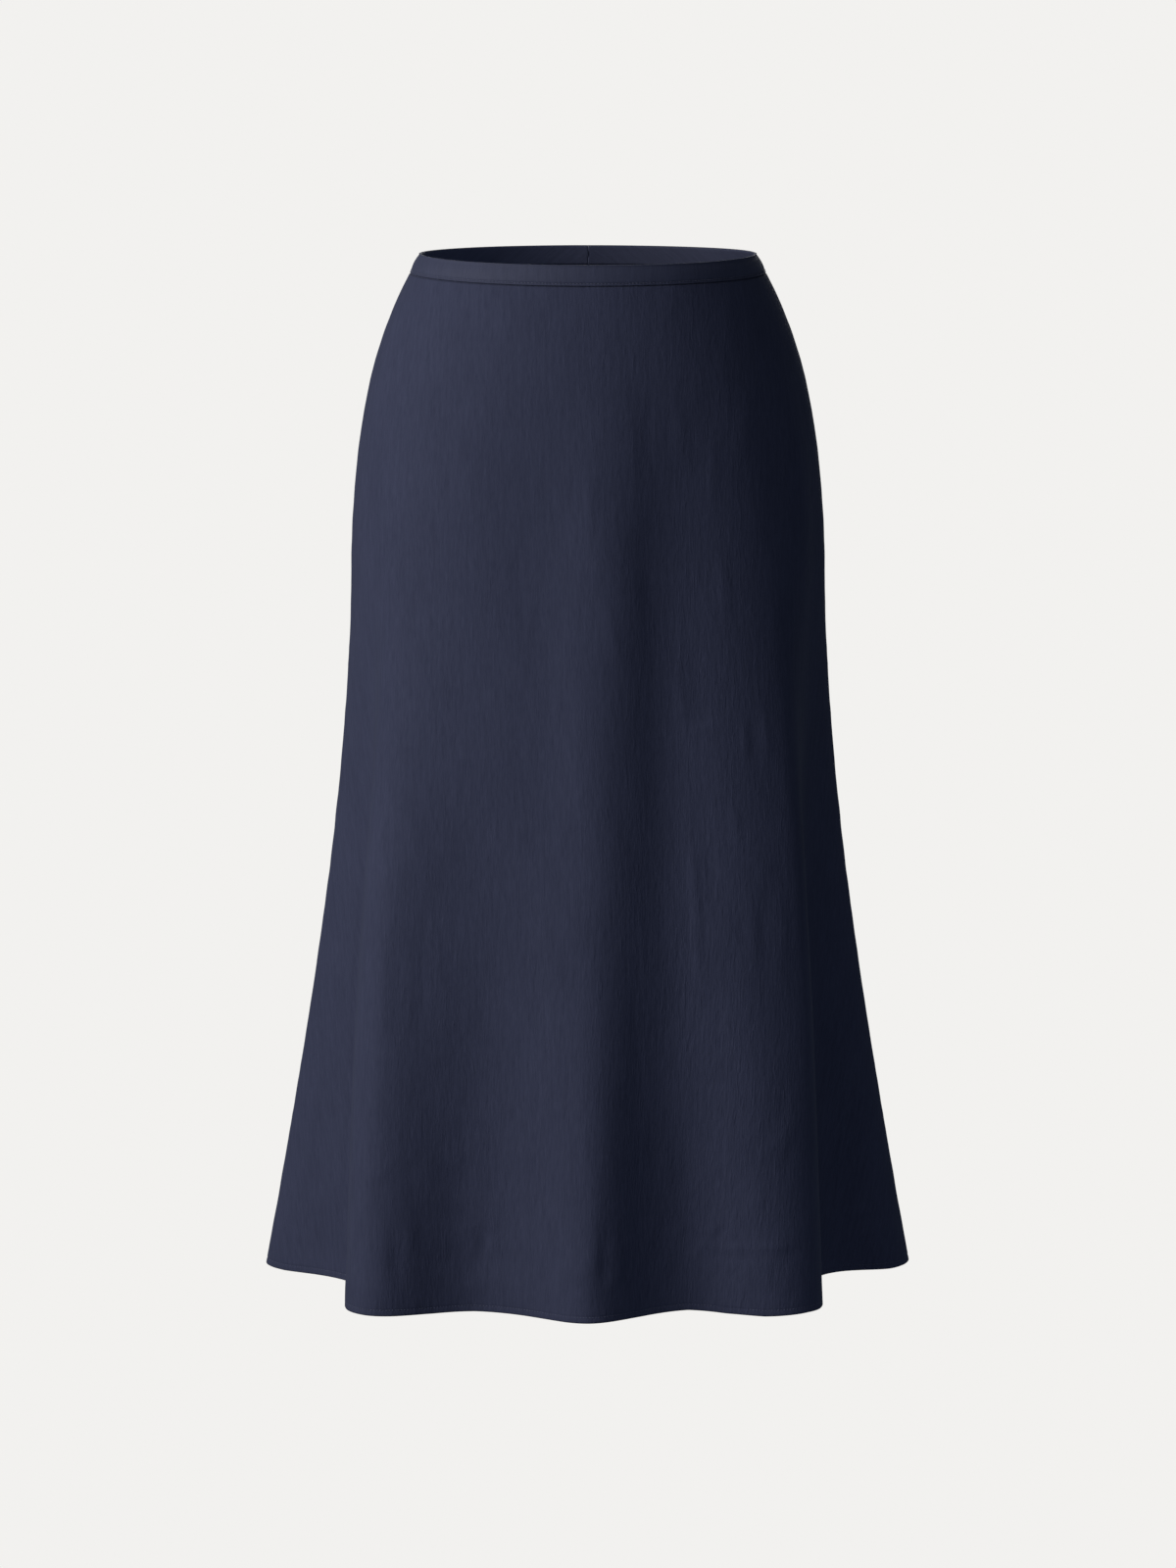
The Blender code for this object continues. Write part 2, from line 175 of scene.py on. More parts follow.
def add_lamp(name, middle, round_degrees, up_degrees, distance, width, height, watts, colour):
    """A rectangular lamp on a sphere round a middle, turned to face that middle."""
    lamp = bpy.data.lights.new(name, "AREA")
    lamp.shape = "RECTANGLE"
    lamp.size = width
    lamp.size_y = height
    lamp.energy = watts
    lamp.color = colour
    turn, rise = math.radians(round_degrees), math.radians(up_degrees)
    away = np.array([math.sin(turn) * math.cos(rise), -math.cos(turn) * math.cos(rise), math.sin(rise)])
    holder = bpy.data.objects.new(name, lamp)
    holder.location = np.array(middle) + distance * away
    holder.rotation_euler = (math.radians(90) - rise, 0.0, turn)
    scene.collection.objects.link(holder)


for lamp_row in LAMPS:
    add_lamp(*lamp_row)
print(len(LAMPS), "lamps stand round the skirt")

# %% [markdown]
# ## The form of the cloth
#
# A place on the cloth has two numbers: the angle round the body, 0 at the front centre and 90 at
# the left side seam, and the drop below the waist edge. A skirt could be draped by a simulation,
# but the worn form must match its frame to the millimetre, so it is a formula. An ellipse per
# drop gives the body, and each fold adds an offset that starts at its own drop and grows through
# the knee to the hem. These tables and formulas are the same as the frame's. Only the hem dips
# are added here: with them the hem waves a millimetre or two more, as cloth on the bias does.

# %% Sizes and tables of the form, in metres
HEM_DROP = 0.8106
KNEE_DROP = 0.500
WAIST_DIP = 0.0111
WAIST_RISE = 0.0081
TILT_ENDS = 0.160

# name, drop, half width, depth in front, depth behind
SECTIONS = (
    ("waist edge", 0.0000, 0.1322, 0.1000, 0.1000),
    ("below the band", 0.0250, 0.1456, 0.1045, 0.1065),
    ("high hip", 0.0780, 0.1665, 0.1110, 0.1190),
    ("hip", 0.1400, 0.1800, 0.1170, 0.1280),
    ("seat", 0.2030, 0.1864, 0.1210, 0.1320),
    ("thigh", 0.2960, 0.1894, 0.1280, 0.1320),
    ("lower thigh", 0.3900, 0.1959, 0.1390, 0.1340),
    ("knee", 0.4850, 0.2063, 0.1520, 0.1390),
    ("calf", 0.5800, 0.2200, 0.1660, 0.1470),
    ("lower calf", 0.6760, 0.2358, 0.1810, 0.1580),
    ("hem", HEM_DROP, 0.2601, 0.2000, 0.1760),
)

# name, angle, drop where it starts, metres out at the hips, x and y at the knee and the hem
FOLDS = (
    ("right side seam", -90, 0.20, 0.0000, -0.2083, 0.0000, -0.2601, 0.0000),
    ("right fin", -82, 0.20, 0.0000, -0.1990, -0.0200, -0.2440, -0.0260),
    ("right fin face", -72, 0.18, 0.0000, -0.1830, -0.0400, -0.2085, -0.0505),
    ("right hollow", -64, 0.18, 0.0000, -0.1710, -0.0610, -0.1830, -0.0900),
    ("right lobe side", -55, 0.20, 0.0005, -0.1750, -0.0975, -0.1880, -0.1500),
    ("right corner", -45, 0.26, -0.0005, -0.1610, -0.1270, -0.1765, -0.1895),
    ("right ridge", -34, 0.30, -0.0035, -0.1270, -0.1355, -0.1460, -0.1935),
    ("right valley", -18, 0.38, -0.0085, -0.0680, -0.1425, -0.0870, -0.1770),
    ("right of centre", -8, 0.27, -0.0080, -0.0270, -0.1525, -0.0410, -0.1940),
    ("centre ridge", 1, 0.16, -0.0030, 0.0080, -0.1565, 0.0030, -0.2160),
    ("left of centre", 9, 0.14, -0.0035, 0.0345, -0.1500, 0.0410, -0.1940),
    ("left valley", 17, 0.12, -0.0075, 0.0600, -0.1420, 0.0770, -0.1790),
    ("left ridge", 32, 0.16, -0.0050, 0.1150, -0.1380, 0.1350, -0.1910),
    ("left corner", 44, 0.18, 0.0000, 0.1535, -0.1255, 0.1700, -0.1830),
    ("left lobe side", 54, 0.16, 0.0010, 0.1700, -0.1060, 0.1815, -0.1500),
    ("left hollow", 64, 0.16, 0.0035, 0.1675, -0.0595, 0.1755, -0.0800),
    ("left fin face", 72, 0.16, 0.0000, 0.1790, -0.0360, 0.1980, -0.0345),
    ("left fin", 82, 0.20, 0.0000, 0.1980, -0.0150, 0.2430, -0.0200),
    ("left side seam", 90, 0.20, 0.0000, 0.2083, 0.0050, 0.2601, 0.0110),
    ("back left fin", 98, 0.20, 0.0000, 0.1980, 0.0250, 0.2460, 0.0380),
    ("back left hollow", 113, 0.20, 0.0000, 0.1730, 0.0560, 0.1960, 0.0800),
    ("back left ridge", 136, 0.24, 0.0020, 0.1420, 0.1080, 0.1660, 0.1660),
    ("back left valley", 158, 0.34, -0.0060, 0.0720, 0.1280, 0.0770, 0.1460),
    ("back centre ridge", 179, 0.26, -0.0020, 0.0030, 0.1470, 0.0040, 0.1880),
    ("back right valley", 202, 0.30, -0.0055, -0.0720, 0.1290, -0.0780, 0.1500),
    ("back right ridge", 224, 0.24, 0.0015, -0.1400, 0.1080, -0.1620, 0.1700),
    ("back right hollow", 247, 0.20, 0.0000, -0.1730, 0.0560, -0.1960, 0.0800),
    ("back right fin", 262, 0.20, 0.0000, -0.1980, 0.0200, -0.2450, 0.0280),
)

# angle, metres that the hem lies lower there
HEM_DIPS = (
    (-90, 0.0006), (-82, 0.0014), (-72, 0.0010), (-64, 0.0007), (-55, 0.0003), (-45, 0.0003),
    (-34, 0.0012), (-26, 0.0015), (-18, 0.0010), (-8, 0.0019), (-3, 0.0021), (3, 0.0017),
    (9, 0.0013), (13, 0.0004), (17, -0.0004), (24, 0.0014), (32, 0.0020), (38, 0.0011),
    (44, 0.0003), (54, 0.0003), (64, 0.0006), (72, 0.0013), (82, 0.0014), (90, 0.0006),
    (113, 0.0010), (136, 0.0003), (158, 0.0012), (179, 0.0006), (202, 0.0013), (224, 0.0004),
    (247, 0.0010), (270, 0.0006),
)
print(len(SECTIONS), "sections,", len(FOLDS), "folds and", len(HEM_DIPS), "hem dips give the form")

# %% Curves through the tables
def column(table, place):
    """One numeric column of a table."""
    return np.array([row[place] for row in table], float)


def smooth_curve(knots, values, at):
    """The cubic through (knots, values) whose slope at a knot is its neighbours' average."""
    width = np.diff(knots)
    rise = np.diff(values) / width
    slope = np.empty(len(knots))
    slope[1:-1] = (rise[:-1] * width[1:] + rise[1:] * width[:-1]) / (width[:-1] + width[1:])
    slope[0] = 2 * rise[0] - slope[1]
    slope[-1] = 2 * rise[-1] - slope[-2]
    span = np.clip(np.searchsorted(knots, at) - 1, 0, len(width) - 1)
    t = (at - knots[span]) / width[span]
    return (
        values[span] * (2 * t**3 - 3 * t**2 + 1)
        + slope[span] * width[span] * (t**3 - 2 * t**2 + t)
        + values[span + 1] * (3 * t**2 - 2 * t**3)
        + slope[span + 1] * width[span] * (t**3 - t**2)
    )


def ellipse(angle, drop):
    """x = half width times sin(angle), y = -depth times cos(angle), the depths by smooth_curve."""
    knots = column(SECTIONS, 1)
    half_width = smooth_curve(knots, column(SECTIONS, 2), drop)
    in_front = smooth_curve(knots, column(SECTIONS, 3), drop)
    behind = smooth_curve(knots, column(SECTIONS, 4), drop)
    forward = np.cos(np.radians(angle))
    x = half_width * np.sin(np.radians(angle))
    return x, -forward * np.where(forward > 0, in_front, behind)


print("the widest section is %.3f m wide" % (2 * column(SECTIONS, 2).max()))

# %% Folds
HIP_RISE = (0.05, 0.25)
HIP_FALL = (0.30, 0.62)


def fold_shares(angle):
    """How much each fold row counts at each angle: the closed cubic spline through the rows."""
    knots = column(FOLDS, 1)
    count = len(knots)
    gap = np.diff(np.append(knots, knots[0] + 360))
    here = np.arange(count)
    before = np.roll(here, 1)
    after = np.roll(here, -1)
    bend = np.zeros((count, count))
    pull = np.zeros((count, count))
    bend[here, before] = gap[before]
    bend[here, here] = 2 * (gap[before] + gap)
    bend[here, after] = gap
    pull[here, before] = 6 / gap[before]
    pull[here, here] = -6 / gap[before] - 6 / gap
    pull[here, after] = 6 / gap
    curvature = np.linalg.solve(bend, pull)
    turned = (angle - knots[0]) % 360
    span = np.clip(np.searchsorted(knots - knots[0], turned, side="right") - 1, 0, count - 1)
    end = (span + 1) % count
    width = gap[span][:, None]
    t = (turned - (knots[span] - knots[0]))[:, None] / width
    row = np.eye(count)
    straight = (1 - t) * row[span] + t * row[end]
    bow = ((1 - t) ** 3 - (1 - t)) * curvature[span] + (t**3 - t) * curvature[end]
    return straight + bow * width**2 / 6


def fold_growth(drop, start, knee, hem):
    """A fold's offset: none down to its start, then two cubics that meet smoothly at the knee."""
    above = KNEE_DROP - start
    below = HEM_DROP - KNEE_DROP
    slope_above = knee / above
    slope_below = (hem - knee) / below
    slope = (slope_above * below + slope_below * above) / (above + below)
    hem_slope = 1.5 * slope_below - 0.5 * slope
    t = np.clip((drop - start) / above, 0, 1)
    upper = knee * (3 * t**2 - 2 * t**3) + slope * above * (t**3 - t**2)
    t = np.clip((drop - KNEE_DROP) / below, 0, 1)
    lower = (
        knee * (2 * t**3 - 3 * t**2 + 1)
        + slope * below * (t**3 - 2 * t**2 + t)
        + hem * (3 * t**2 - 2 * t**3)
        + hem_slope * below * (t**3 - t**2)
    )
    return np.where(drop < KNEE_DROP, upper, lower)


def smooth_step(low, high, value):
    """0 below low, 1 above high, and 3t^2 - 2t^3 between them."""
    t = np.clip((value - low) / (high - low), 0, 1)
    return t * t * (3 - 2 * t)


def hip_share(drop):
    """How much of a fold's offset at the hips shows at each drop."""
    return smooth_step(*HIP_RISE, drop) * (1 - smooth_step(*HIP_FALL, drop))


print("the first fold starts %.2f m below the waist" % column(FOLDS, 2).min())

# %% The surface
HEM_DIP_FROM = 0.62
BAND_DEEPER = 0.0014
BAND_BLEND_IN = (0.002, 0.014)
BAND_BLEND_OUT = (0.017, 0.036)
STEP_ANGLE = 0.05
STEP_DROP = 0.0005
BACK_CENTRE = 180.0


def cloth(angle, drop):
    """Points of the outer face: the ellipse, plus each fold's growth times its share, with the
    waist edge dipped in front and raised behind by a smooth fade that ends below the hip."""
    angle, drop = np.broadcast_arrays(np.asarray(angle, float), np.asarray(drop, float))
    shape = angle.shape
    angle, drop = angle.ravel(), drop.ravel()
    knots = column(FOLDS, 1)
    knee_x, knee_y = ellipse(knots, np.full(len(knots), KNEE_DROP))
    hem_x, hem_y = ellipse(knots, np.full(len(knots), HEM_DROP))
    start = column(FOLDS, 2)
    shares = fold_shares(angle)
    grow_x = fold_growth(drop[:, None], start, column(FOLDS, 4) - knee_x, column(FOLDS, 6) - hem_x)
    grow_y = fold_growth(drop[:, None], start, column(FOLDS, 5) - knee_y, column(FOLDS, 7) - hem_y)
    forward = np.cos(np.radians(angle))
    at_hips = hip_share(drop) * (shares @ column(FOLDS, 3))
    x, y = ellipse(angle, drop)
    x = x + (shares * grow_x).sum(axis=1) + at_hips * np.sin(np.radians(angle))
    y = y + (shares * grow_y).sum(axis=1) - at_hips * forward
    fade = np.clip(1 - drop / TILT_ENDS, 0, 1)
    fade = fade * fade * (3 - 2 * fade)
    z = -drop - fade * forward * np.where(forward > 0, WAIST_DIP, WAIST_RISE)
    return np.stack([x, y, z], axis=1).reshape(shape + (3,))


def lowered(angle, drop):
    """The drop plus what is local to an angle: the band's lower edge lies deeper in front, by the
    square of the cosine, and the hem dips in straight steps between the angles of its table."""
    turned = (np.asarray(angle, float) + 90) % 360
    forward = np.clip(np.cos(np.radians(angle)), 0, 1)
    near_band = smooth_step(*BAND_BLEND_IN, drop) * (1 - smooth_step(*BAND_BLEND_OUT, drop))
    dip = np.interp(turned, column(HEM_DIPS, 0) + 90, column(HEM_DIPS, 1))
    return drop + BAND_DEEPER * forward**2 * near_band + dip * smooth_step(HEM_DIP_FROM, HEM_DROP, drop)


def cloth_frame(angle, drop):
    """Unit vectors down the cloth, out of it and round it, and the metres round it per degree.
    Each is a difference of two nearby points, and out is the cross product of the other two."""
    around = (cloth(angle + STEP_ANGLE, drop) - cloth(angle - STEP_ANGLE, drop)) / (2 * STEP_ANGLE)
    down = cloth(angle, drop + STEP_DROP) - cloth(angle, drop - STEP_DROP)
    speed = np.linalg.norm(around, axis=-1)
    out = np.cross(down, around)
    out /= np.linalg.norm(out, axis=-1, keepdims=True)
    down /= np.linalg.norm(down, axis=-1, keepdims=True)
    return down, out, around / speed[..., None], speed


print("the waist is %.3f m wide" % (2 * cloth(90.0, 0.0)[0]))

# %% [markdown]
# ## Creases, crinkle and puckers
#
# The big folds are in the formula above. Finer relief is a height that is added along the outward
# direction of the cloth. It could all be noise, but a real skirt has a few creases that an eye
# follows, so these are listed one by one, in flat-cloth metres across from the centre line and
# down from the waist. Between them the cloth is crinkled lengthwise, because its slubby yarns run
# down the skirt, and near the hem it is a little rumpled. Sewing draws the cloth up, so seams
# pucker.

# %% Table of creases
# where the crease starts: across, down; where it ends: across, down; width, height, sideways bow
FRONT_CREASES = (
    (0.148, 0.465, 0.150, 0.585, 0.0050, 0.00045, 0.002),
    (0.136, 0.480, 0.139, 0.600, 0.0060, -0.00040, -0.002),
    (0.073, 0.400, 0.084, 0.610, 0.0036, 0.00060, 0.003),
    (0.072, 0.270, 0.075, 0.400, 0.0040, 0.00035, -0.002),
    (0.082, 0.285, 0.086, 0.395, 0.0060, -0.00035, 0.002),
    (0.082, 0.761, 0.188, 0.760, 0.0024, 0.00060, 0.001),
    (0.096, 0.767, 0.150, 0.767, 0.0028, -0.00050, -0.001),
    (0.100, 0.762, 0.119, 0.742, 0.0026, -0.00060, 0.001),
    (0.084, 0.777, 0.105, 0.752, 0.0030, 0.00055, 0.000),
    (0.130, 0.735, 0.146, 0.716, 0.0050, 0.00055, 0.001),
    (0.014, 0.735, 0.011, 0.795, 0.0050, -0.00105, 0.001),
    (0.004, 0.720, 0.003, 0.800, 0.0060, 0.00050, -0.001),
    (0.028, 0.745, 0.022, 0.790, 0.0050, 0.00040, 0.002),
    (-0.084, 0.735, -0.092, 0.780, 0.0050, -0.00090, 0.001),
    (-0.076, 0.728, -0.080, 0.770, 0.0060, 0.00040, 0.000),
    (-0.180, 0.704, -0.160, 0.708, 0.0040, 0.00090, 0.000),
    (-0.161, 0.735, -0.155, 0.798, 0.0060, -0.00080, 0.001),
    (-0.146, 0.725, -0.142, 0.775, 0.0050, 0.00040, -0.001),
    (0.168, 0.650, 0.146, 0.700, 0.0070, 0.00060, 0.001),
    (0.150, 0.655, 0.136, 0.690, 0.0060, -0.00045, 0.000),
    (0.069, 0.372, 0.118, 0.365, 0.0032, 0.00070, 0.002),
    (0.137, 0.345, 0.139, 0.405, 0.0040, 0.00050, 0.001),
    (0.128, 0.350, 0.129, 0.400, 0.0050, -0.00035, 0.000),
    (-0.114, 0.150, -0.110, 0.200, 0.0045, -0.00035, 0.001),
    (0.001, 0.160, 0.003, 0.225, 0.0045, 0.00040, -0.001),
    (0.039, 0.205, 0.050, 0.345, 0.0070, -0.00045, 0.003),
    (0.126, 0.100, 0.119, 0.175, 0.0080, 0.00055, 0.002),
    (0.030, 0.090, 0.038, 0.235, 0.0045, 0.00030, 0.001),
    (0.045, 0.095, 0.049, 0.180, 0.0040, -0.00030, 0.001),
    (0.069, 0.100, 0.076, 0.175, 0.0050, 0.00038, -0.001),
    (0.096, 0.130, 0.097, 0.215, 0.0050, 0.00035, 0.002),
    (0.008, 0.260, 0.028, 0.335, 0.0050, 0.00040, 0.000),
    (-0.058, 0.220, -0.052, 0.300, 0.0045, -0.00030, 0.001),
    (-0.020, 0.300, -0.017, 0.410, 0.0060, -0.00032, 0.001),
    (0.104, 0.220, 0.108, 0.300, 0.0055, 0.00040, 0.001),
    (0.080, 0.525, 0.091, 0.580, 0.0045, 0.00040, 0.001),
    (-0.040, 0.470, -0.027, 0.700, 0.0085, 0.00050, 0.004),
    (-0.012, 0.570, 0.003, 0.735, 0.0070, 0.00040, -0.002),
    (0.028, 0.515, 0.042, 0.690, 0.0070, -0.00040, 0.002),
    (-0.134, 0.490, -0.138, 0.620, 0.0060, -0.00042, 0.002),
    (-0.120, 0.545, -0.118, 0.630, 0.0050, 0.00035, 0.001),
    (-0.105, 0.640, -0.100, 0.725, 0.0060, -0.00038, 0.001),
    (-0.058, 0.650, -0.052, 0.735, 0.0050, 0.00036, 0.001),
    (0.124, 0.480, 0.129, 0.560, 0.0050, 0.00040, -0.001),
    (0.109, 0.640, 0.117, 0.715, 0.0055, 0.00042, 0.001),
    (0.077, 0.680, 0.085, 0.740, 0.0050, -0.00040, 0.001),
    (-0.167, 0.520, -0.170, 0.600, 0.0060, 0.00040, 0.001),
    (-0.260, 0.560, -0.285, 0.720, 0.0070, -0.00045, 0.002),
    (0.255, 0.500, 0.275, 0.690, 0.0075, 0.00045, 0.003),
    (-0.022, 0.250, -0.008, 0.470, 0.0140, 0.00120, 0.002),
    (0.018, 0.300, 0.026, 0.520, 0.0110, -0.00060, 0.002),
    (0.060, 0.660, 0.066, 0.720, 0.0055, 0.00045, 0.001),
    (0.098, 0.560, 0.102, 0.620, 0.0045, -0.00040, 0.001),
    (-0.238, 0.420, -0.322, 0.830, 0.0045, -0.00160, -0.007),
    (0.110, 0.420, 0.113, 0.455, 0.0040, 0.00050, 0.001),
    (0.092, 0.450, 0.096, 0.490, 0.0035, -0.00045, -0.001),
    (0.120, 0.360, 0.121, 0.392, 0.0035, 0.00055, 0.001),
    (-0.157, 0.440, -0.173, 0.745, 0.0075, 0.00055, -0.001),
    (0.108, 0.748, 0.111, 0.772, 0.0026, -0.00045, 0.000),
    (0.124, 0.752, 0.122, 0.778, 0.0026, 0.00045, 0.001),
)
BACK_CREASES = (
    (-0.020, 0.230, -0.024, 0.330, 0.0060, 0.00045, 0.002),
    (-0.052, 0.300, -0.066, 0.455, 0.0065, -0.00050, 0.003),
    (-0.090, 0.150, -0.096, 0.235, 0.0060, 0.00040, 0.001),
    (-0.118, 0.410, -0.126, 0.560, 0.0070, 0.00050, -0.003),
    (-0.148, 0.520, -0.150, 0.640, 0.0060, -0.00045, 0.002),
    (-0.040, 0.560, -0.038, 0.720, 0.0075, 0.00055, 0.003),
    (-0.092, 0.690, -0.082, 0.790, 0.0060, -0.00060, 0.002),
    (-0.160, 0.748, -0.215, 0.752, 0.0040, 0.00040, 0.001),
    (-0.200, 0.560, -0.225, 0.735, 0.0080, 0.00050, 0.004),
    (-0.270, 0.640, -0.290, 0.760, 0.0070, -0.00045, 0.002),
    (-0.014, 0.735, -0.020, 0.798, 0.0055, -0.00050, 0.001),
    (0.026, 0.120, 0.030, 0.215, 0.0055, 0.00038, 0.001),
    (0.060, 0.190, 0.066, 0.300, 0.0050, -0.00042, 0.002),
    (0.034, 0.360, 0.044, 0.520, 0.0070, 0.00048, 0.003),
    (0.098, 0.340, 0.104, 0.430, 0.0060, 0.00045, -0.002),
    (0.132, 0.460, 0.140, 0.610, 0.0070, -0.00052, 0.003),
    (0.072, 0.600, 0.080, 0.740, 0.0065, 0.00050, 0.002),
    (0.116, 0.700, 0.128, 0.785, 0.0055, -0.00058, 0.001),
    (0.052, 0.762, 0.108, 0.768, 0.0035, 0.00042, 0.002),
    (0.190, 0.590, 0.216, 0.760, 0.0080, 0.00052, 0.004),
    (0.255, 0.520, 0.282, 0.690, 0.0075, -0.00045, 0.003),
    (0.016, 0.560, 0.018, 0.650, 0.0050, -0.00035, 0.001),
)
print(len(FRONT_CREASES) + len(BACK_CREASES), "creases are set by hand")

# %% [markdown]
# Noise fills in between the creases. Each kind has a cell: how far apart its waves lie across and
# down the cloth. Two long narrow cells make the crinkle, and a nearly square one the rumples. They
# come and go in patches, because cloth that has been worn and hung is never creased evenly.

# %% Heights of the relief
NOISE_SIDE = 512
NOISE_RANGE = 1.9

# cell across, cell down, height
CRINKLE = ((0.0046, 0.014, 0.00005), (0.0090, 0.034, 0.00007))

RUMPLE_CELL = (0.013, 0.011)
RUMPLE_GROUPS = (0.04, 0.03)
RUMPLE_HEIGHT = 0.00062
RUMPLE_FADE = (0.62, 0.77)
PATCH_CELL = (0.075, 0.120)
PATCH_FADE = (-0.5, 0.7)
PATCH_LEAST = 0.35
LEFT_FADE = (-0.03, 0.10)
LEFT_GAIN = 0.6
HEM_FADE = (0.2, 0.78)
HEM_GAIN = (0.9, 0.5)
SEAM_FADE = 0.016
BAND_FADE = (0.016, 0.030)
EASE_CELL = (0.0045, 0.05)
EASE_FROM = 0.015
EASE_FADE = (0.0155, 0.021)
EASE_LENGTH = 0.024
EASE_HEIGHT = 0.00016
print("rumples are up to about %.1f mm high" % (1000 * RUMPLE_HEIGHT))

# %% Noise and creases
def spline_weights(t):
    """The four cubic B-spline weights of a place t between its second and third neighbours."""
    return (
        (1 - t) ** 3 / 6,
        (3 * t**3 - 6 * t**2 + 4) / 6,
        (-3 * t**3 + 3 * t**2 + 3 * t + 1) / 6,
        t**3 / 6,
    )


def soft_noise(across, down, cell, seed):
    """Heights about -1 to 1: seeded random numbers on a lattice of cells, each place the weighted
    sum of the 4 by 4 numbers round it."""
    lattice = np.random.default_rng(seed).uniform(-NOISE_RANGE, NOISE_RANGE, (NOISE_SIDE, NOISE_SIDE))
    place_across, place_down = across / cell[0], down / cell[1]
    first_across = np.floor(place_across).astype(int)
    first_down = np.floor(place_down).astype(int)
    weights_across = spline_weights(place_across - first_across)
    weights_down = spline_weights(place_down - first_down)
    height = np.zeros(np.broadcast(across, down).shape)
    for i, weight_across in enumerate(weights_across):
        for j, weight_down in enumerate(weights_down):
            pick = lattice[(first_across + i) % NOISE_SIDE, (first_down + j) % NOISE_SIDE]
            height += weight_across * weight_down * pick
    return height


def crease_height(across, down, creases):
    """Each crease runs from its start to its end. Its height falls off as exp(-(d / width)^2) with
    the distance d from its line, which bows sideways by a sine, and dies away at both ends as
    (1 - (2t - 1)^2)^2 with the share t of its length."""
    height = np.zeros(np.broadcast(across, down).shape)
    for start_across, start_down, end_across, end_down, width, ridge, bow in creases:
        run = np.array([end_across - start_across, end_down - start_down])
        length = np.hypot(*run)
        run = run / length
        off_across, off_down = across - start_across, down - start_down
        t = np.clip((off_across * run[0] + off_down * run[1]) / length, 0, 1)
        away = off_across * run[1] - off_down * run[0] - bow * np.sin(np.pi * t)
        height += ridge * np.exp(-((away / width) ** 2)) * (1 - (2 * t - 1) ** 2) ** 2
    return height


print("the widest crease is %.1f mm wide" % (1000 * column(FRONT_CREASES, 4).max()))

# %% All of the relief
def crinkle_patches(across, down, seed):
    """How strong the crinkle is: uneven from patch to patch, more to the wearer's left, and more
    towards the hem."""
    patches = smooth_step(*PATCH_FADE, soft_noise(across, down, PATCH_CELL, seed))
    patches = PATCH_LEAST + (1 - PATCH_LEAST) * patches
    more_left = 1 + LEFT_GAIN * smooth_step(*LEFT_FADE, across)
    more_low = HEM_GAIN[0] + HEM_GAIN[1] * smooth_step(*HEM_FADE, down)
    return patches * more_left * more_low


def cloth_relief(across, down, to_seam, creases, seed):
    """Creases, lengthwise crinkle in patches, rumpling near the hem and easing under the band.
    All of it fades to nothing at the seams and under the band."""
    patches = crinkle_patches(across, down, seed)
    height = crease_height(across, down, creases)
    for number, (cell_across, cell_down, size) in enumerate(CRINKLE):
        cell = (cell_across, cell_down)
        height = height + size * patches * soft_noise(across, down, cell, seed + 1 + number)
    groups = soft_noise(across, down, RUMPLE_GROUPS, seed + 6)
    rumple = soft_noise(across, down, RUMPLE_CELL, seed + 5) * groups
    height = height + RUMPLE_HEIGHT * rumple * smooth_step(*RUMPLE_FADE, down)
    near_seam = smooth_step(0, SEAM_FADE, to_seam)
    ease = EASE_HEIGHT * soft_noise(across, down, EASE_CELL, seed + 7)
    ease = ease * np.exp(-np.clip(down - EASE_FROM, 0, 1) / EASE_LENGTH) * smooth_step(*EASE_FADE, down)
    return height * near_seam * smooth_step(*BAND_FADE, down) + ease * near_seam


print("the relief adds creases,", len(CRINKLE), "sizes of crinkle, rumples and easing")

# %% [markdown]
# ## One wall of cloth as one grid
#
# Each panel is a thin closed shell. Its profile runs down the outer face, round the folded hem,
# up the inner face and back over the top edge, and this profile is carried round the skirt from
# seam to seam. One could instead thicken a single sheet with Solidify, but then the hem could not
# be twice as thick as the rest and round below. The inner face has a third of the outer rows.
# At a seam the outer face rolls inwards, so the two panels meet in a fine soft groove. They lap
# over each other there by a hundredth of a millimetre, so that no light comes through.

# %% Helpers that build a mesh
def put_mesh(name, points, faces, finish, flat=None):
    """A smooth-shaded object from points and faces. flat gives each point's place on the flat
    cloth in metres, which becomes the UV map."""
    mesh = bpy.data.meshes.new(name)
    mesh.from_pydata(points.tolist(), [], faces)
    if flat is not None:
        corners = np.empty(len(mesh.loops), np.int32)
        mesh.loops.foreach_get("vertex_index", corners)
        layer = mesh.uv_layers.new(name="flat_cloth")
        layer.data.foreach_set("uv", flat[corners].astype(np.float32).ravel())
    mesh.materials.append(finish)
    mesh.shade_smooth()
    mesh.validate()
    made = bpy.data.objects.new(name, mesh)
    scene.collection.objects.link(made)
    triangles = sum(len(face.vertices) - 2 for face in mesh.polygons)
    print("%-22s %7d triangles" % (name, triangles))
    return made


def grid_quads(index, wrap_rows=False, wrap_columns=False):
    """The quads between neighbouring entries of an index grid, wrapped round where asked."""
    if wrap_rows:
        index = np.vstack([index, index[:1]])
    if wrap_columns:
        index = np.hstack([index, index[:, :1]])
    corners = (index[:-1, :-1], index[1:, :-1], index[1:, 1:], index[:-1, 1:])
    return np.stack([corner.ravel() for corner in corners], axis=1)


# %% [markdown]
# The rows of a panel lie closest where the form changes fastest: under the band, where the cloth
# comes out of its seam, and at the hem, with its rumples, stitches and round fold. Evenly spaced
# rows fine enough for the hem would make several times as many faces.

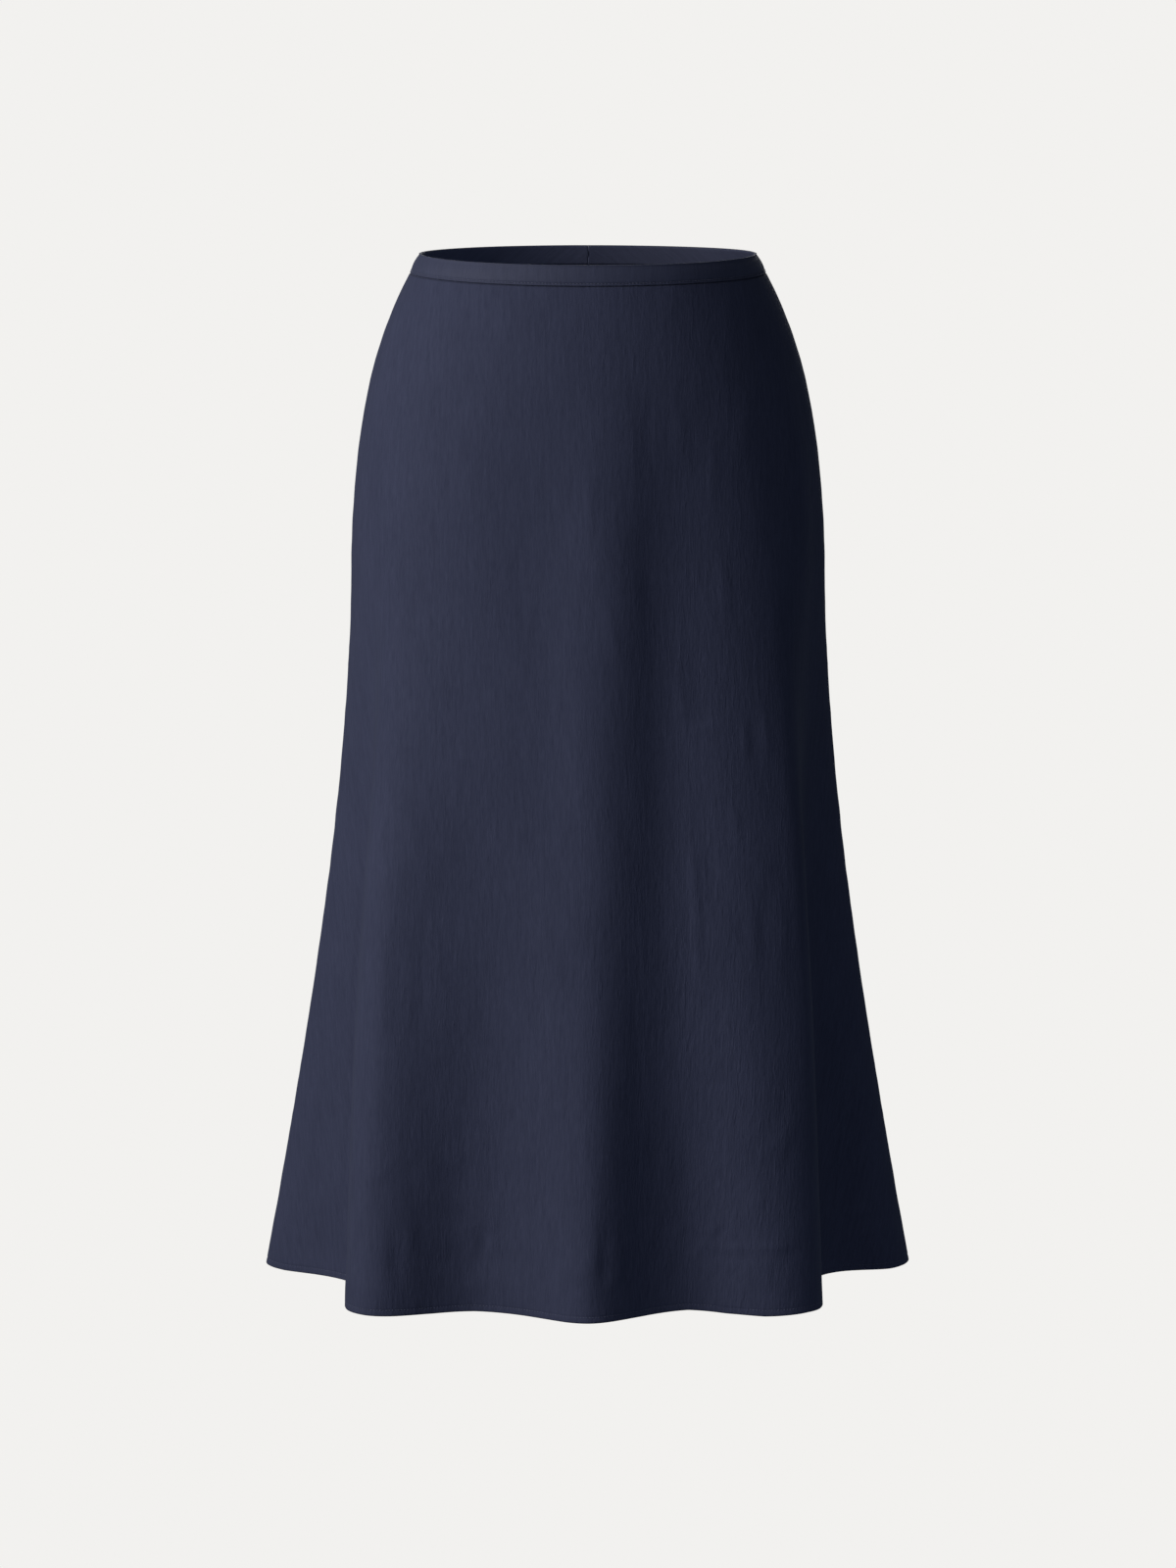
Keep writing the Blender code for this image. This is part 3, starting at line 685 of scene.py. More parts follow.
# %% Rows of a panel
WALL = 0.0013
HEM_TURN = 0.0080
HEM_INSIDE = 0.0021
BAND_DEPTH = 0.0150
PANEL_TOP = BAND_DEPTH - 0.0004
ROWS_UNDER_BAND = 0.001 * np.array([0, 0.5, 0.8, 1.1, 1.4, 1.8, 2.3, 3.2, 4.6, 6.4, 8.2, 10.1])
BODY_FROM = 0.012
RUMPLES_FROM = 0.742
HEM_ROWS_HEIGHT = 0.0125
BODY_ROWS = 163
RUMPLE_ROWS = 26
HEM_ROWS = 16
TURNED_EDGE_STEP = 0.0022
OUTER_ROWS_PER_INNER = 3


def panel_rows():
    """The profile as drops and offsets: down the outer face, half round the hem, up the inner. The
    rows are close together under the band, where the cloth is rumpled, and at the hem."""
    radius = HEM_INSIDE / 2
    near_hem = HEM_DROP - HEM_ROWS_HEIGHT
    outer = np.concatenate([
        PANEL_TOP + ROWS_UNDER_BAND,
        np.linspace(PANEL_TOP + BODY_FROM, RUMPLES_FROM, BODY_ROWS, endpoint=False),
        np.linspace(RUMPLES_FROM, near_hem, RUMPLE_ROWS, endpoint=False),
        np.linspace(near_hem, HEM_DROP - radius, HEM_ROWS),
    ])
    turn = np.radians(np.arange(22.5, 180, 22.5))
    round_drop = HEM_DROP - radius + radius * np.sin(turn)
    round_offset = -radius + radius * np.cos(turn)
    inner = outer[::-OUTER_ROWS_PER_INNER]
    turned_edge = HEM_DROP - HEM_TURN
    step = smooth_step(turned_edge - TURNED_EDGE_STEP, turned_edge, inner)
    inner_offset = -WALL - (HEM_INSIDE - WALL) * step
    drop = np.concatenate([outer, round_drop, inner])
    offset = np.concatenate([np.zeros(len(outer)), round_offset, inner_offset])
    return drop, offset, len(outer), len(turn)


print(len(panel_rows()[0]), "rows in a panel, round its outer and inner face")

# %% Columns of a panel, and what its seams do
SEAM_ROLL = 0.0010
SEAM_ROLL_DEPTH = 0.00065
SEAM_LAP = 0.00001
SEAM_STEPS = np.array([0.0, 0.12, 0.38, 0.75, 1.3])
SEAM_ALLOWANCE = 0.0095
ALLOWANCE_EDGE = (-0.003, 0.001)
SEAM_LIFT = 0.00022
PUCKER_CELL = 0.0065
PUCKER_HEIGHT = 0.00018
PUCKER_REACH = 0.0065
PUCKER_FADE = (0.018, 0.035)
PUCKER_SEED = 71


def seam_columns(first, last, drop, columns):
    """Angles of a panel's columns, a row for each drop: some close to each seam for its roll, the
    rest evenly between them."""
    close = SEAM_ROLL * SEAM_STEPS - SEAM_LAP
    near_first = first + close / cloth_frame(np.full(len(drop), first), drop)[3][:, None]
    near_last = last - close / cloth_frame(np.full(len(drop), last), drop)[3][:, None]
    share = np.linspace(0, 1, columns + 1 - 2 * (len(close) - 1))[1:-1]
    middle = near_first[:, -1:] + (near_last[:, -1:] - near_first[:, -1:]) * share
    return np.concatenate([near_first, middle, near_last[:, ::-1]], axis=1)


def seam_relief(to_seam, down):
    """Beside a seam the allowance behind it lifts the cloth a little, and the thread draws it into
    puckers that fade as exp(-distance / reach)."""
    lift = SEAM_LIFT * (1 - smooth_step(*ALLOWANCE_EDGE, to_seam - SEAM_ALLOWANCE))
    pucker = soft_noise(np.zeros_like(down), down, (1.0, PUCKER_CELL), PUCKER_SEED)
    pucker = PUCKER_HEIGHT * pucker * np.exp(-to_seam / PUCKER_REACH)
    return (lift + pucker) * smooth_step(*PUCKER_FADE, down)


print("seam allowances are %.1f mm wide" % (1000 * SEAM_ALLOWANCE))

# %% A whole panel
HEM_STITCH_DROP = HEM_DROP - 0.0046
THREAD_SINK = 0.00036
THREAD_SINK_WIDTH = 0.0007
BAND_GROOVE = 0.0014
BAND_GROOVE_WIDTH = 0.00055
BAND_GROOVE_DROP = BAND_DEPTH + 0.0003


def cloth_panel(name, first, last, grain, columns, creases, seed, finish):
    """Point (row, column) = cloth + outward direction times (profile offset + relief - roll). The
    flat place is the distance round from the grain line, and the drop."""
    drop_of_row, offset_of_row, outer_rows, round_rows = panel_rows()
    angle = seam_columns(first, last, drop_of_row, columns)
    drop = np.broadcast_to(drop_of_row[:, None], angle.shape)
    base = cloth(angle, lowered(angle, drop))
    out = cloth_frame(angle, lowered(angle, drop))[1]
    steps = np.linalg.norm(np.diff(base, axis=1), axis=2)
    along = np.concatenate([np.zeros((len(drop), 1)), np.cumsum(steps, axis=1)], axis=1)
    to_seam = np.minimum(along, along[:, -1:] - along)
    grain_column = np.abs(angle - grain).argmin(axis=1)
    across = along - along[np.arange(len(along)), grain_column][:, None]
    relief = cloth_relief(across, drop, to_seam, creases, seed) + seam_relief(to_seam, drop)
    relief -= THREAD_SINK * np.exp(-(((drop - HEM_STITCH_DROP) / THREAD_SINK_WIDTH) ** 2))
    groove = np.exp(-(((drop - BAND_GROOVE_DROP) / BAND_GROOVE_WIDTH) ** 2))
    outer_share = np.clip(1 + offset_of_row / WALL, 0, 1)[:, None]
    bent = np.clip(1 - to_seam / SEAM_ROLL, 0, 0.999)
    roll = SEAM_ROLL_DEPTH * (1 - np.sqrt(1 - bent**2))
    height = offset_of_row[:, None] + relief - (BAND_GROOVE * groove + roll) * outer_share
    points = base + out * height[..., None]
    index = np.arange(angle.size).reshape(angle.shape)
    faces = grid_quads(index, wrap_rows=True).tolist()
    faces += edge_caps(index, outer_rows, round_rows)
    flat = np.stack([across, -drop], axis=-1).reshape(-1, 2)
    piece = put_mesh(name, points.reshape(-1, 3), faces, finish, flat)
    hem_row = outer_rows - 1
    print("   %.3f m round the hem, %.3f m under the band" % (along[hem_row, -1], along[0, -1]))
    return piece


def edge_caps(index, outer_rows, round_rows):
    """Closes the two side edges. Each face there has one step of inner rows and the three outer
    rows beside it, and one more closes the half round of the hem."""
    inner_start = outer_rows + round_rows
    inner = np.arange(inner_start, len(index))
    count = len(inner) - 1
    outer_first = outer_rows - 1 - OUTER_ROWS_PER_INNER * np.arange(count)
    outer = [outer_first - step for step in range(OUTER_ROWS_PER_INNER + 1)]
    ring = np.stack(outer + [inner[1:], inner[:-1]], axis=1)
    hem_ring = np.arange(inner_start, outer_rows - 2, -1)
    faces = index[ring, 0].tolist() + [index[hem_ring, 0].tolist()]
    faces += index[ring[:, ::-1], -1].tolist() + [index[hem_ring[::-1], -1].tolist()]
    return faces


print("the hem stitches lie %.1f mm above the hem" % (1000 * (HEM_DROP - HEM_STITCH_DROP)))

# %% [markdown]
# ## Cloth as a material
#
# The cloth is a matt plain weave with slubs: yarns that swell and thin along their length. Its
# UV map holds flat-cloth metres, so a yarn has its real width on every panel and runs with the
# cloth over each fold. An image of cloth could be used, but noise that is stretched along the
# yarns never repeats and has no size limit. The heights that make the bump are the two sets of
# yarns, the slubs along and across, a fine lengthwise crinkle and small nicks in it. The slubs
# also vary the colour and the gloss a little.

# %% Nodes that the finishes share
WAVE_CYCLE = 2 * math.pi / 20


def add_node(tree, kind, **values):
    """A node of this kind, with each named input set to its value."""
    node = tree.nodes.new(kind)
    for title, value in values.items():
        node.inputs[title.replace("_", " ")].default_value = value
    return node


def stretched(tree, scale):
    """The flat-cloth UV map, multiplied by a scale for each direction."""
    uv = tree.nodes.new("ShaderNodeUVMap")
    uv.uv_map = "flat_cloth"
    mapping = add_node(tree, "ShaderNodeMapping", Scale=scale)
    tree.links.new(uv.outputs["UV"], mapping.inputs["Vector"])
    return mapping.outputs["Vector"]


def noise_on_cloth(tree, across, down, detail, distortion):
    """Noise with this many cells per metre of cloth in each direction."""
    noise = add_node(tree, "ShaderNodeTexNoise", Scale=1.0, Detail=detail, Distortion=distortion)
    tree.links.new(stretched(tree, (across, down, 1.0)), noise.inputs["Vector"])
    return noise.outputs["Fac"]


def yarns_on_cloth(tree, direction, pitch):
    """Bands one pitch wide, wavering a little, for the yarns that lie across this direction."""
    scale = WAVE_CYCLE / pitch
    wave = add_node(tree, "ShaderNodeTexWave", Scale=1.0, Distortion=0.9, Detail=1.0, Detail_Scale=0.6)
    wave.bands_direction = direction
    tree.links.new(stretched(tree, (scale, scale, 1.0)), wave.inputs["Vector"])
    return wave.outputs["Fac"]


def combine(tree, operation, first, second):
    """A Math node on two sockets or numbers."""
    node = tree.nodes.new("ShaderNodeMath")
    node.operation = operation
    for place, value in enumerate((first, second)):
        if isinstance(value, (int, float)):
            node.inputs[place].default_value = value
        else:
            tree.links.new(value, node.inputs[place])
    return node.outputs["Value"]


def weighted(tree, first, second, share):
    """The first socket times its share, plus the second times the rest."""
    first = combine(tree, "MULTIPLY", first, share)
    return combine(tree, "ADD", first, combine(tree, "MULTIPLY", second, 1 - share))


def between(tree, value, low, high, start=0.0, end=1.0):
    """A number from low to high as the value goes from start to end."""
    spread = add_node(tree, "ShaderNodeMapRange", From_Min=start, From_Max=end, To_Min=low, To_Max=high)
    tree.links.new(value, spread.inputs["Value"])
    return spread.outputs["Result"]


def two_tones(tree, share, low, high, dark, light):
    """A colour ramp from dark to light between two shares."""
    ramp = tree.nodes.new("ShaderNodeValToRGB")
    ramp.color_ramp.elements[0].position = low
    ramp.color_ramp.elements[0].color = dark
    ramp.color_ramp.elements[1].position = high
    ramp.color_ramp.elements[1].color = light
    tree.links.new(share, ramp.inputs["Fac"])
    return ramp.outputs["Color"]


def bumped(tree, height, distance, strength, before=None):
    """A Bump node on this height, on top of an earlier one."""
    bump = add_node(tree, "ShaderNodeBump", Distance=distance, Strength=strength)
    tree.links.new(height, bump.inputs["Height"])
    if before is not None:
        tree.links.new(before, bump.inputs["Normal"])
    return bump.outputs["Normal"]


def new_finish(name, roughness, sheen, specular):
    """A material with one Principled shader whose even values are set on its own sockets."""
    made = bpy.data.materials.new(name)
    made.use_nodes = True
    shader = made.node_tree.nodes["Principled BSDF"]
    shader.inputs["Roughness"].default_value = roughness
    shader.inputs["Sheen Weight"].default_value = sheen
    shader.inputs["Sheen Roughness"].default_value = 0.45
    shader.inputs["Specular IOR Level"].default_value = specular
    return made, made.node_tree, shader


print("noise and waves are laid on flat-cloth metres")

# %% Cloth finish
CLOTH_DARK = (0.0214, 0.0249, 0.0516, 1.0)
CLOTH_LIGHT = (0.0334, 0.0379, 0.0731, 1.0)
YARN_PITCH = 0.00048

# noises on the cloth: cells per metre across and down, detail, distortion
SLUBS = (900.0, 110.0, 2.0, 0.0)
LONG_SLUBS = (330.0, 30.0, 1.0, 0.0)
CROSS_SLUBS = (60.0, 700.0, 1.0, 0.0)
SMALL_FOLDS = (260.0, 95.0, 2.0, 0.5)
NICKS = (330.0, 52.0, 1.0, 0.9)
CLOUDS = (26.0, 14.0, 2.0, 0.0)
PATCHES = (13.0, 8.0, 1.0, 0.0)
NICKS_SHOW = (0.57, 0.72)
PATCH_GAIN = (0.5, 1.5)

# where the relief's strength starts and stops growing, and its value at each: X, then Y
GROWS_TO_LEFT = (-0.03, 0.10, 1.0, 1.65)
GROWS_TO_HEM = (-0.15, -0.78, 0.85, 1.6)

# heights of the relief on the cloth, in metres
FOLD_HEIGHT = 0.0006
NICK_HEIGHT = 0.00022
SLUB_HEIGHT = 0.0004
CROSS_SLUB_HEIGHT = 0.0002
WEAVE_HEIGHT = 0.00012
WEAVE_STRENGTH = 0.35
CROSS_SLUB_SHARE = 0.4
SLUB_IN_TONE = 0.72
TONE_RAMP = (0.30, 0.70)
ROUGHNESS_SPREAD = 0.07


def along_cloth(tree, axis, start, end, low, high):
    """A number from low to high as the flat cloth's own X or Y goes from start to end."""
    uv = tree.nodes.new("ShaderNodeUVMap")
    uv.uv_map = "flat_cloth"
    parts = tree.nodes.new("ShaderNodeSeparateXYZ")
    tree.links.new(uv.outputs["UV"], parts.inputs["Vector"])
    return between(tree, parts.outputs[axis], low, high, start, end)


def relief_gain(tree):
    """How strong the small relief is: it grows to the wearer's left, towards the hem and in
    patches."""
    to_left = along_cloth(tree, "X", *GROWS_TO_LEFT)
    to_hem = along_cloth(tree, "Y", *GROWS_TO_HEM)
    patches = between(tree, noise_on_cloth(tree, *PATCHES), *PATCH_GAIN)
    return combine(tree, "MULTIPLY", combine(tree, "MULTIPLY", to_left, to_hem), patches)


def cloth_finish(name, slub, crinkle, roughness, specular):
    """Matt navy plain weave. slub and crinkle set how strongly the yarns and the crinkle show."""
    made, tree, shader = new_finish(name, roughness, 0.03, specular)
    slubs = noise_on_cloth(tree, *SLUBS)
    streaks = weighted(tree, slubs, noise_on_cloth(tree, *LONG_SLUBS), 0.5)
    tone = weighted(tree, streaks, noise_on_cloth(tree, *CLOUDS), SLUB_IN_TONE)
    colour = two_tones(tree, tone, *TONE_RAMP, CLOTH_DARK, CLOTH_LIGHT)
    tree.links.new(colour, shader.inputs["Base Color"])
    matt, smooth = roughness + ROUGHNESS_SPREAD, roughness - ROUGHNESS_SPREAD
    tree.links.new(between(tree, slubs, matt, smooth), shader.inputs["Roughness"])
    gain = relief_gain(tree)
    nicks = between(tree, noise_on_cloth(tree, *NICKS), 0.0, 1.0, *NICKS_SHOW)
    yarns_across = yarns_on_cloth(tree, "X", YARN_PITCH)
    weave = combine(tree, "MULTIPLY", yarns_across, yarns_on_cloth(tree, "Y", YARN_PITCH))
    folds = combine(tree, "MULTIPLY", noise_on_cloth(tree, *SMALL_FOLDS), gain)
    nicks = combine(tree, "MULTIPLY", nicks, gain)
    streaks = combine(tree, "MULTIPLY", streaks, gain)
    cross_slubs = noise_on_cloth(tree, *CROSS_SLUBS)
    normal = bumped(tree, folds, FOLD_HEIGHT, crinkle)
    normal = bumped(tree, nicks, NICK_HEIGHT, crinkle, normal)
    normal = bumped(tree, streaks, SLUB_HEIGHT, slub, normal)
    normal = bumped(tree, cross_slubs, CROSS_SLUB_HEIGHT, slub * CROSS_SLUB_SHARE, normal)
    normal = bumped(tree, weave, WEAVE_HEIGHT, WEAVE_STRENGTH, normal)
    tree.links.new(normal, shader.inputs["Normal"])
    return made


skirt_cloth = cloth_finish("navy_slub_cloth", 0.50, 0.30, 0.85, 0.25)
band_cloth = cloth_finish("navy_band_cloth", 0.40, 0.10, 0.74, 0.33)
print("a yarn is %.2f mm wide" % (1000 * YARN_PITCH))

# %% Thread and tape finishes
THREAD_BLUE = (0.0520, 0.0580, 0.1020, 1.0)
TAPE_DARK = (0.0120, 0.0145, 0.0290, 1.0)
TAPE_LIGHT = (0.0230, 0.0270, 0.0480, 1.0)
TWILL_PITCH = 0.0009
TAPE_FUZZ = (900.0, 300.0, 2.0, 0.0)


def thread_finish(name):
    """Twisted sewing thread: fine slanting ridges and a faint gloss."""
    made, tree, shader = new_finish(name, 0.6, 0.1, 0.4)
    shader.inputs["Base Color"].default_value = THREAD_BLUE
    where = tree.nodes.new("ShaderNodeTexCoord")
    twist = add_node(tree, "ShaderNodeTexWave", Scale=900.0, Distortion=0.4)
    twist.bands_direction = "DIAGONAL"
    tree.links.new(where.outputs["Object"], twist.inputs["Vector"])
    tree.links.new(bumped(tree, twist.outputs["Fac"], 0.0001, 0.6), shader.inputs["Normal"])
    tree.links.new(between(tree, twist.outputs["Fac"], 0.5, 0.7), shader.inputs["Roughness"])
    return made


def tape_finish(name):
    """Close-woven zip tape: steep fine twill ridges that run along it."""
    made, tree, shader = new_finish(name, 0.75, 0.1, 0.4)
    ribs = yarns_on_cloth(tree, "DIAGONAL", TWILL_PITCH)
    tone = weighted(tree, ribs, noise_on_cloth(tree, *TAPE_FUZZ), 0.5)
    tree.links.new(two_tones(tree, tone, 0.2, 0.8, TAPE_DARK, TAPE_LIGHT), shader.inputs["Base Color"])
    tree.links.new(bumped(tree, tone, 0.0003, 0.6), shader.inputs["Normal"])
    return made


sewing_thread = thread_finish("navy_thread")
zip_tape_cloth = tape_finish("navy_zip_tape")
print("finishes", [made.name for made in bpy.data.materials if made.users])

# %% [markdown]
# ## The front and the two backs
#
# The front is one piece of cloth, cut on the fold. The back is two, with the zip in the seam
# between them. Each is its own object, so that each can be cut, sewn and replaced by itself. The
# grain runs down the centre line, so the flat place is measured from there.

# %% Panels
FRONT_COLUMNS = 320
BACK_COLUMNS = 158

# columns, creases, seed of the noise, finish
FRONT_LOOK = (FRONT_COLUMNS, FRONT_CREASES, 11, skirt_cloth)
BACK_LOOK = (BACK_COLUMNS, BACK_CREASES, 31, skirt_cloth)
front = cloth_panel("front_cloth", -90.0, 90.0, 0.0, *FRONT_LOOK)
left_back = cloth_panel("left_back_cloth", 90.0, BACK_CENTRE, BACK_CENTRE, *BACK_LOOK)
right_back = cloth_panel("right_back_cloth", BACK_CENTRE, 270.0, BACK_CENTRE, *BACK_LOOK)

# %% [markdown]
# ## The waistband
#
# A narrow strip, folded lengthwise over the top edge of the panels and stitched close to its
# lower edge. Folded cloth is round at the top, a little full in the middle and pressed flat
# beside the stitches. So a closed profile with these hollows and rounds is carried round the
# waist, from one side of the zip to the other.

# %% Waistband
BAND_PROUD = 0.0007
BAND_INSIDE = 0.0017
SLIDER_DROP = 0.0065
BAND_OPENING = 0.00004
BAND_OPENING_AT_NECK = 0.00006
BAND_STITCH_DROP = BAND_DEPTH - 0.0017
BAND_FULLNESS = 0.00045
BAND_EXTRA = 0.00035
BAND_EXTRA_FADE = (0.006, 0.030)
BAND_LOW_RADIUS = 0.0003
BAND_COLUMNS = 900
BAND_WAVE_CELL = (0.034, 0.012)
BAND_WAVE_HEIGHT = 0.00020
BAND_WAVE_FADE = 0.012
BAND_WAVE_SEED = 91
NECK_REACH = 0.0028
ROWS_TO_STITCHES = (11, 0.0012)
ROWS_AT_STITCHES = (7, 0.0008)
INSIDE_ROWS = 12


def band_profile():
    """Drops and offsets round the folded strip: down the outside, round the lower edge, up the
    inside and over the top fold. The outside is full by half a sine and sunk at the stitches."""
    top_radius = (BAND_PROUD + BAND_INSIDE) / 2
    middle = (BAND_PROUD - BAND_INSIDE) / 2
    rows, above = ROWS_TO_STITCHES
    to_stitches = np.linspace(top_radius, BAND_STITCH_DROP - above, rows)
    rows, above = ROWS_AT_STITCHES
    at_stitches = np.linspace(BAND_STITCH_DROP - above, BAND_DEPTH - BAND_LOW_RADIUS, rows)
    outside = np.concatenate([to_stitches, at_stitches])
    full = np.sin(np.pi * np.clip((outside - top_radius) / (BAND_STITCH_DROP - top_radius), 0, 1))
    sunk = np.exp(-(((outside - BAND_STITCH_DROP) / THREAD_SINK_WIDTH) ** 2))
    out_offset = BAND_PROUD + BAND_FULLNESS * (full - 1) - THREAD_SINK * sunk
    low_turn = np.radians([30, 60, 90])
    low_drop = BAND_DEPTH - BAND_LOW_RADIUS * (1 - np.sin(low_turn))
    low_offset = BAND_PROUD - BAND_FULLNESS - BAND_LOW_RADIUS * (1 - np.cos(low_turn))
    inside = np.linspace(BAND_DEPTH, top_radius, INSIDE_ROWS)
    in_offset = np.full(len(inside), -BAND_INSIDE)
    top_turn = np.radians([157, 135, 112, 90, 67, 45, 22])
    top_drop = top_radius - top_radius * np.sin(top_turn)
    top_offset = middle + top_radius * np.cos(top_turn)
    drop = np.concatenate([outside, low_drop, inside, top_drop])
    offset = np.concatenate([out_offset, low_offset, in_offset, top_offset])
    return drop, offset


def waistband(name, finish):
    """Point (profile place, column) = cloth + outward direction times (offset + slow waves)."""
    drop_of_row, offset_of_row = band_profile()
    opened = np.exp(-(((drop_of_row - SLIDER_DROP) / NECK_REACH) ** 8))
    gap = BAND_OPENING + (BAND_OPENING_AT_NECK - BAND_OPENING) * opened
    shift = gap / 2 / cloth_frame(np.full(len(drop_of_row), BACK_CENTRE), drop_of_row)[3]
    share = np.linspace(-1, 1, BAND_COLUMNS + 1)
    angle = (BACK_CENTRE - shift)[:, None] * share
    drop = np.broadcast_to(drop_of_row[:, None], angle.shape)
    base = cloth(angle, lowered(angle, drop))
    out = cloth_frame(angle, lowered(angle, drop))[1]
    steps = np.linalg.norm(np.diff(base, axis=1), axis=2)
    along = np.concatenate([np.zeros((len(drop), 1)), np.cumsum(steps, axis=1)], axis=1)
    across = along - along[:, -1:] / 2
    wave = BAND_WAVE_HEIGHT * soft_noise(across, drop, BAND_WAVE_CELL, BAND_WAVE_SEED)
    to_end = np.minimum(along, along[:, -1:] - along)
    wave = wave * smooth_step(0, BAND_WAVE_FADE, to_end)
    outer_share = np.clip(offset_of_row / BAND_PROUD, 0, 1)[:, None]
    extra = BAND_EXTRA * outer_share * smooth_step(*BAND_EXTRA_FADE, to_end)
    points = base + out * (offset_of_row[:, None] + wave + extra)[..., None]
    index = np.arange(angle.size).reshape(angle.shape)
    faces = grid_quads(index, wrap_rows=True).tolist()
    faces += [index[::-1, 0].tolist(), index[:, -1].tolist()]
    place = np.cumsum(np.concatenate([[0], np.hypot(np.diff(drop_of_row), np.diff(offset_of_row))]))
    flat = np.stack([across, np.broadcast_to(-place[:, None], across.shape)], axis=-1)
    piece = put_mesh(name, points.reshape(-1, 3), faces, finish, flat.reshape(-1, 2))
    print("   %.3f m long at its top edge" % along[0, -1])
    return piece


band = waistband("waistband_cloth", band_cloth)

# %% [markdown]
# ## Stitches
#
# One row of small stitches holds the waistband near its lower edge, and one holds the turned
# hem. Each stitch is a short spindle of thread that dips into the cloth at both ends. Hundreds of
# them could be separate objects, but one mesh, made from arrays, is far lighter: the same small
# spindle is laid along the row again and again.

# %% Rows of stitches
STITCH_GAP_SHARE = 0.30
THREAD_RADIUS = 0.00027
THREAD_DIP = 0.00022
THREAD_OUT_SHARE = 0.6
BAND_OUT_SHARE = 0.8
SLANT_SPREAD = 0.05
LENGTH_SPREAD = (0.93, 1.05)


def spindle(rings=5, sides=6):
    """Unit spindle along its first axis: radius sqrt(1 - t^4) at each t between -1 and 1."""
    t = np.linspace(-0.88, 0.88, rings)
    turn = np.linspace(0, 2 * np.pi, sides, endpoint=False)
    radius = np.sqrt(1 - t**4)
    ring = np.stack([
        np.broadcast_to(t[:, None], (rings, sides)),
        radius[:, None] * np.cos(turn),
        radius[:, None] * np.sin(turn),
    ], axis=-1)
    points = np.concatenate([ring.reshape(-1, 3), [[-1, 0, 0], [1, 0, 0]]])
    index = np.arange(rings * sides).reshape(rings, sides)
    quads = grid_quads(index, wrap_columns=True)[:, ::-1].tolist()
    start, end = rings * sides, rings * sides + 1
    first, last = index[0], index[-1]
    caps = np.stack([np.full(sides, start), np.roll(first, -1), first], axis=1).tolist()
    caps += np.stack([np.full(sides, end), last, np.roll(last, -1)], axis=1).tolist()
    return points, quads + caps


def lay_spindles(name, places, along, out, half_length, radius, dip, finish, seed):
    """A copy of the spindle at each place: along times its length, bent into the cloth by dip at
    both ends, with small seeded changes of length and direction."""
    random = np.random.default_rng(seed)
    count = len(places)
    shape, shape_faces = spindle()
    side = np.cross(out, along)
    swing = random.normal(0, SLANT_SPREAD, count)[:, None]
    run = along + side * swing
    run /= np.linalg.norm(run, axis=1, keepdims=True)
    side = np.cross(out, run)
    length = half_length * random.uniform(*LENGTH_SPREAD, count)[:, None, None]
    t, sideways, outward = shape[:, 0], shape[:, 1], shape[:, 2]
    points = places[:, None, :] + length * t[None, :, None] * run[:, None, :]
    points = points + radius * sideways[None, :, None] * side[:, None, :]
    lift = radius * outward - dip * t**2
    points = points + lift[None, :, None] * out[:, None, :]
    first = np.arange(count)[:, None] * len(shape)
    faces = []
    for size in (3, 4):
        picked = np.array([face for face in shape_faces if len(face) == size])
        faces += (first[:, :, None] + picked[None]).reshape(-1, size).tolist()
    return put_mesh(name, points.reshape(-1, 3), faces, finish)


def stitch_row(name, start, end, drop, offset, pitch, seed):
    """Stitches one pitch apart along the cloth at one drop, from one angle to another."""
    dense = np.linspace(start, end, 6000)
    path = cloth(dense, lowered(dense, np.full(len(dense), drop)))
    walked = np.concatenate([[0], np.cumsum(np.linalg.norm(np.diff(path, axis=0), axis=1))])
    count = int(walked[-1] / pitch)
    at = (np.arange(count) + 0.5) * walked[-1] / count
    angle = np.interp(at, walked, dense)
    drops = lowered(angle, np.full(count, drop))
    _, out, around, _ = cloth_frame(angle, drops)
    places = cloth(angle, drops) + out * offset
    half = pitch / 2 * (1 - STITCH_GAP_SHARE)
    print(count, "stitches in", name)
    thread = (THREAD_RADIUS, THREAD_DIP, sewing_thread)
    return lay_spindles(name, places, around, out, half, *thread, seed)


band_seat = BAND_PROUD - BAND_FULLNESS - THREAD_SINK
band_seat += THREAD_RADIUS * THREAD_OUT_SHARE + BAND_EXTRA * BAND_OUT_SHARE
band_stitches = stitch_row("waistband_stitches", -179.3, 179.3, BAND_STITCH_DROP, band_seat, 0.0027, 5)
hem_seat = -THREAD_SINK + THREAD_RADIUS * THREAD_OUT_SHARE
hem_stitches = stitch_row("hem_stitches", -90.0, 270.0, HEM_STITCH_DROP, hem_seat, 0.0024, 6)

# %% [markdown]
# ## The zip
#
# A concealed zip shows outside only as its slider and pull at the top of the back seam. Inside
# there are two woven tapes, one on each side of the seam, with a spiral of nylon on each. The
# spirals could be real helices, but at a millimetre a turn a row of small bars that mesh in turn
# shows the same from a step away, with far fewer faces.

# %% Zip tapes
ZIP_LENGTH = 0.200
TAPE_TOP = 0.0153
TAPE_WIDTH = 0.024
TAPE_THICKNESS = 0.0009
TAPE_GAP = 0.0006
TAPE_PARTING = 0.0007
TAPE_COMES_UP = (0.0158, 0.0176)
TAPE_ROWS = 120
TAPE_ROUND = 0.9


def tape_offset(drop):
    """How far behind the cloth's outer face the tape's near face lies: deeper behind the band."""
    behind_band = BAND_INSIDE + TAPE_GAP
    behind_panel = WALL + TAPE_GAP
    deeper = 1 - smooth_step(*TAPE_COMES_UP, drop)
    return -(behind_panel + (behind_band - behind_panel) * deeper)


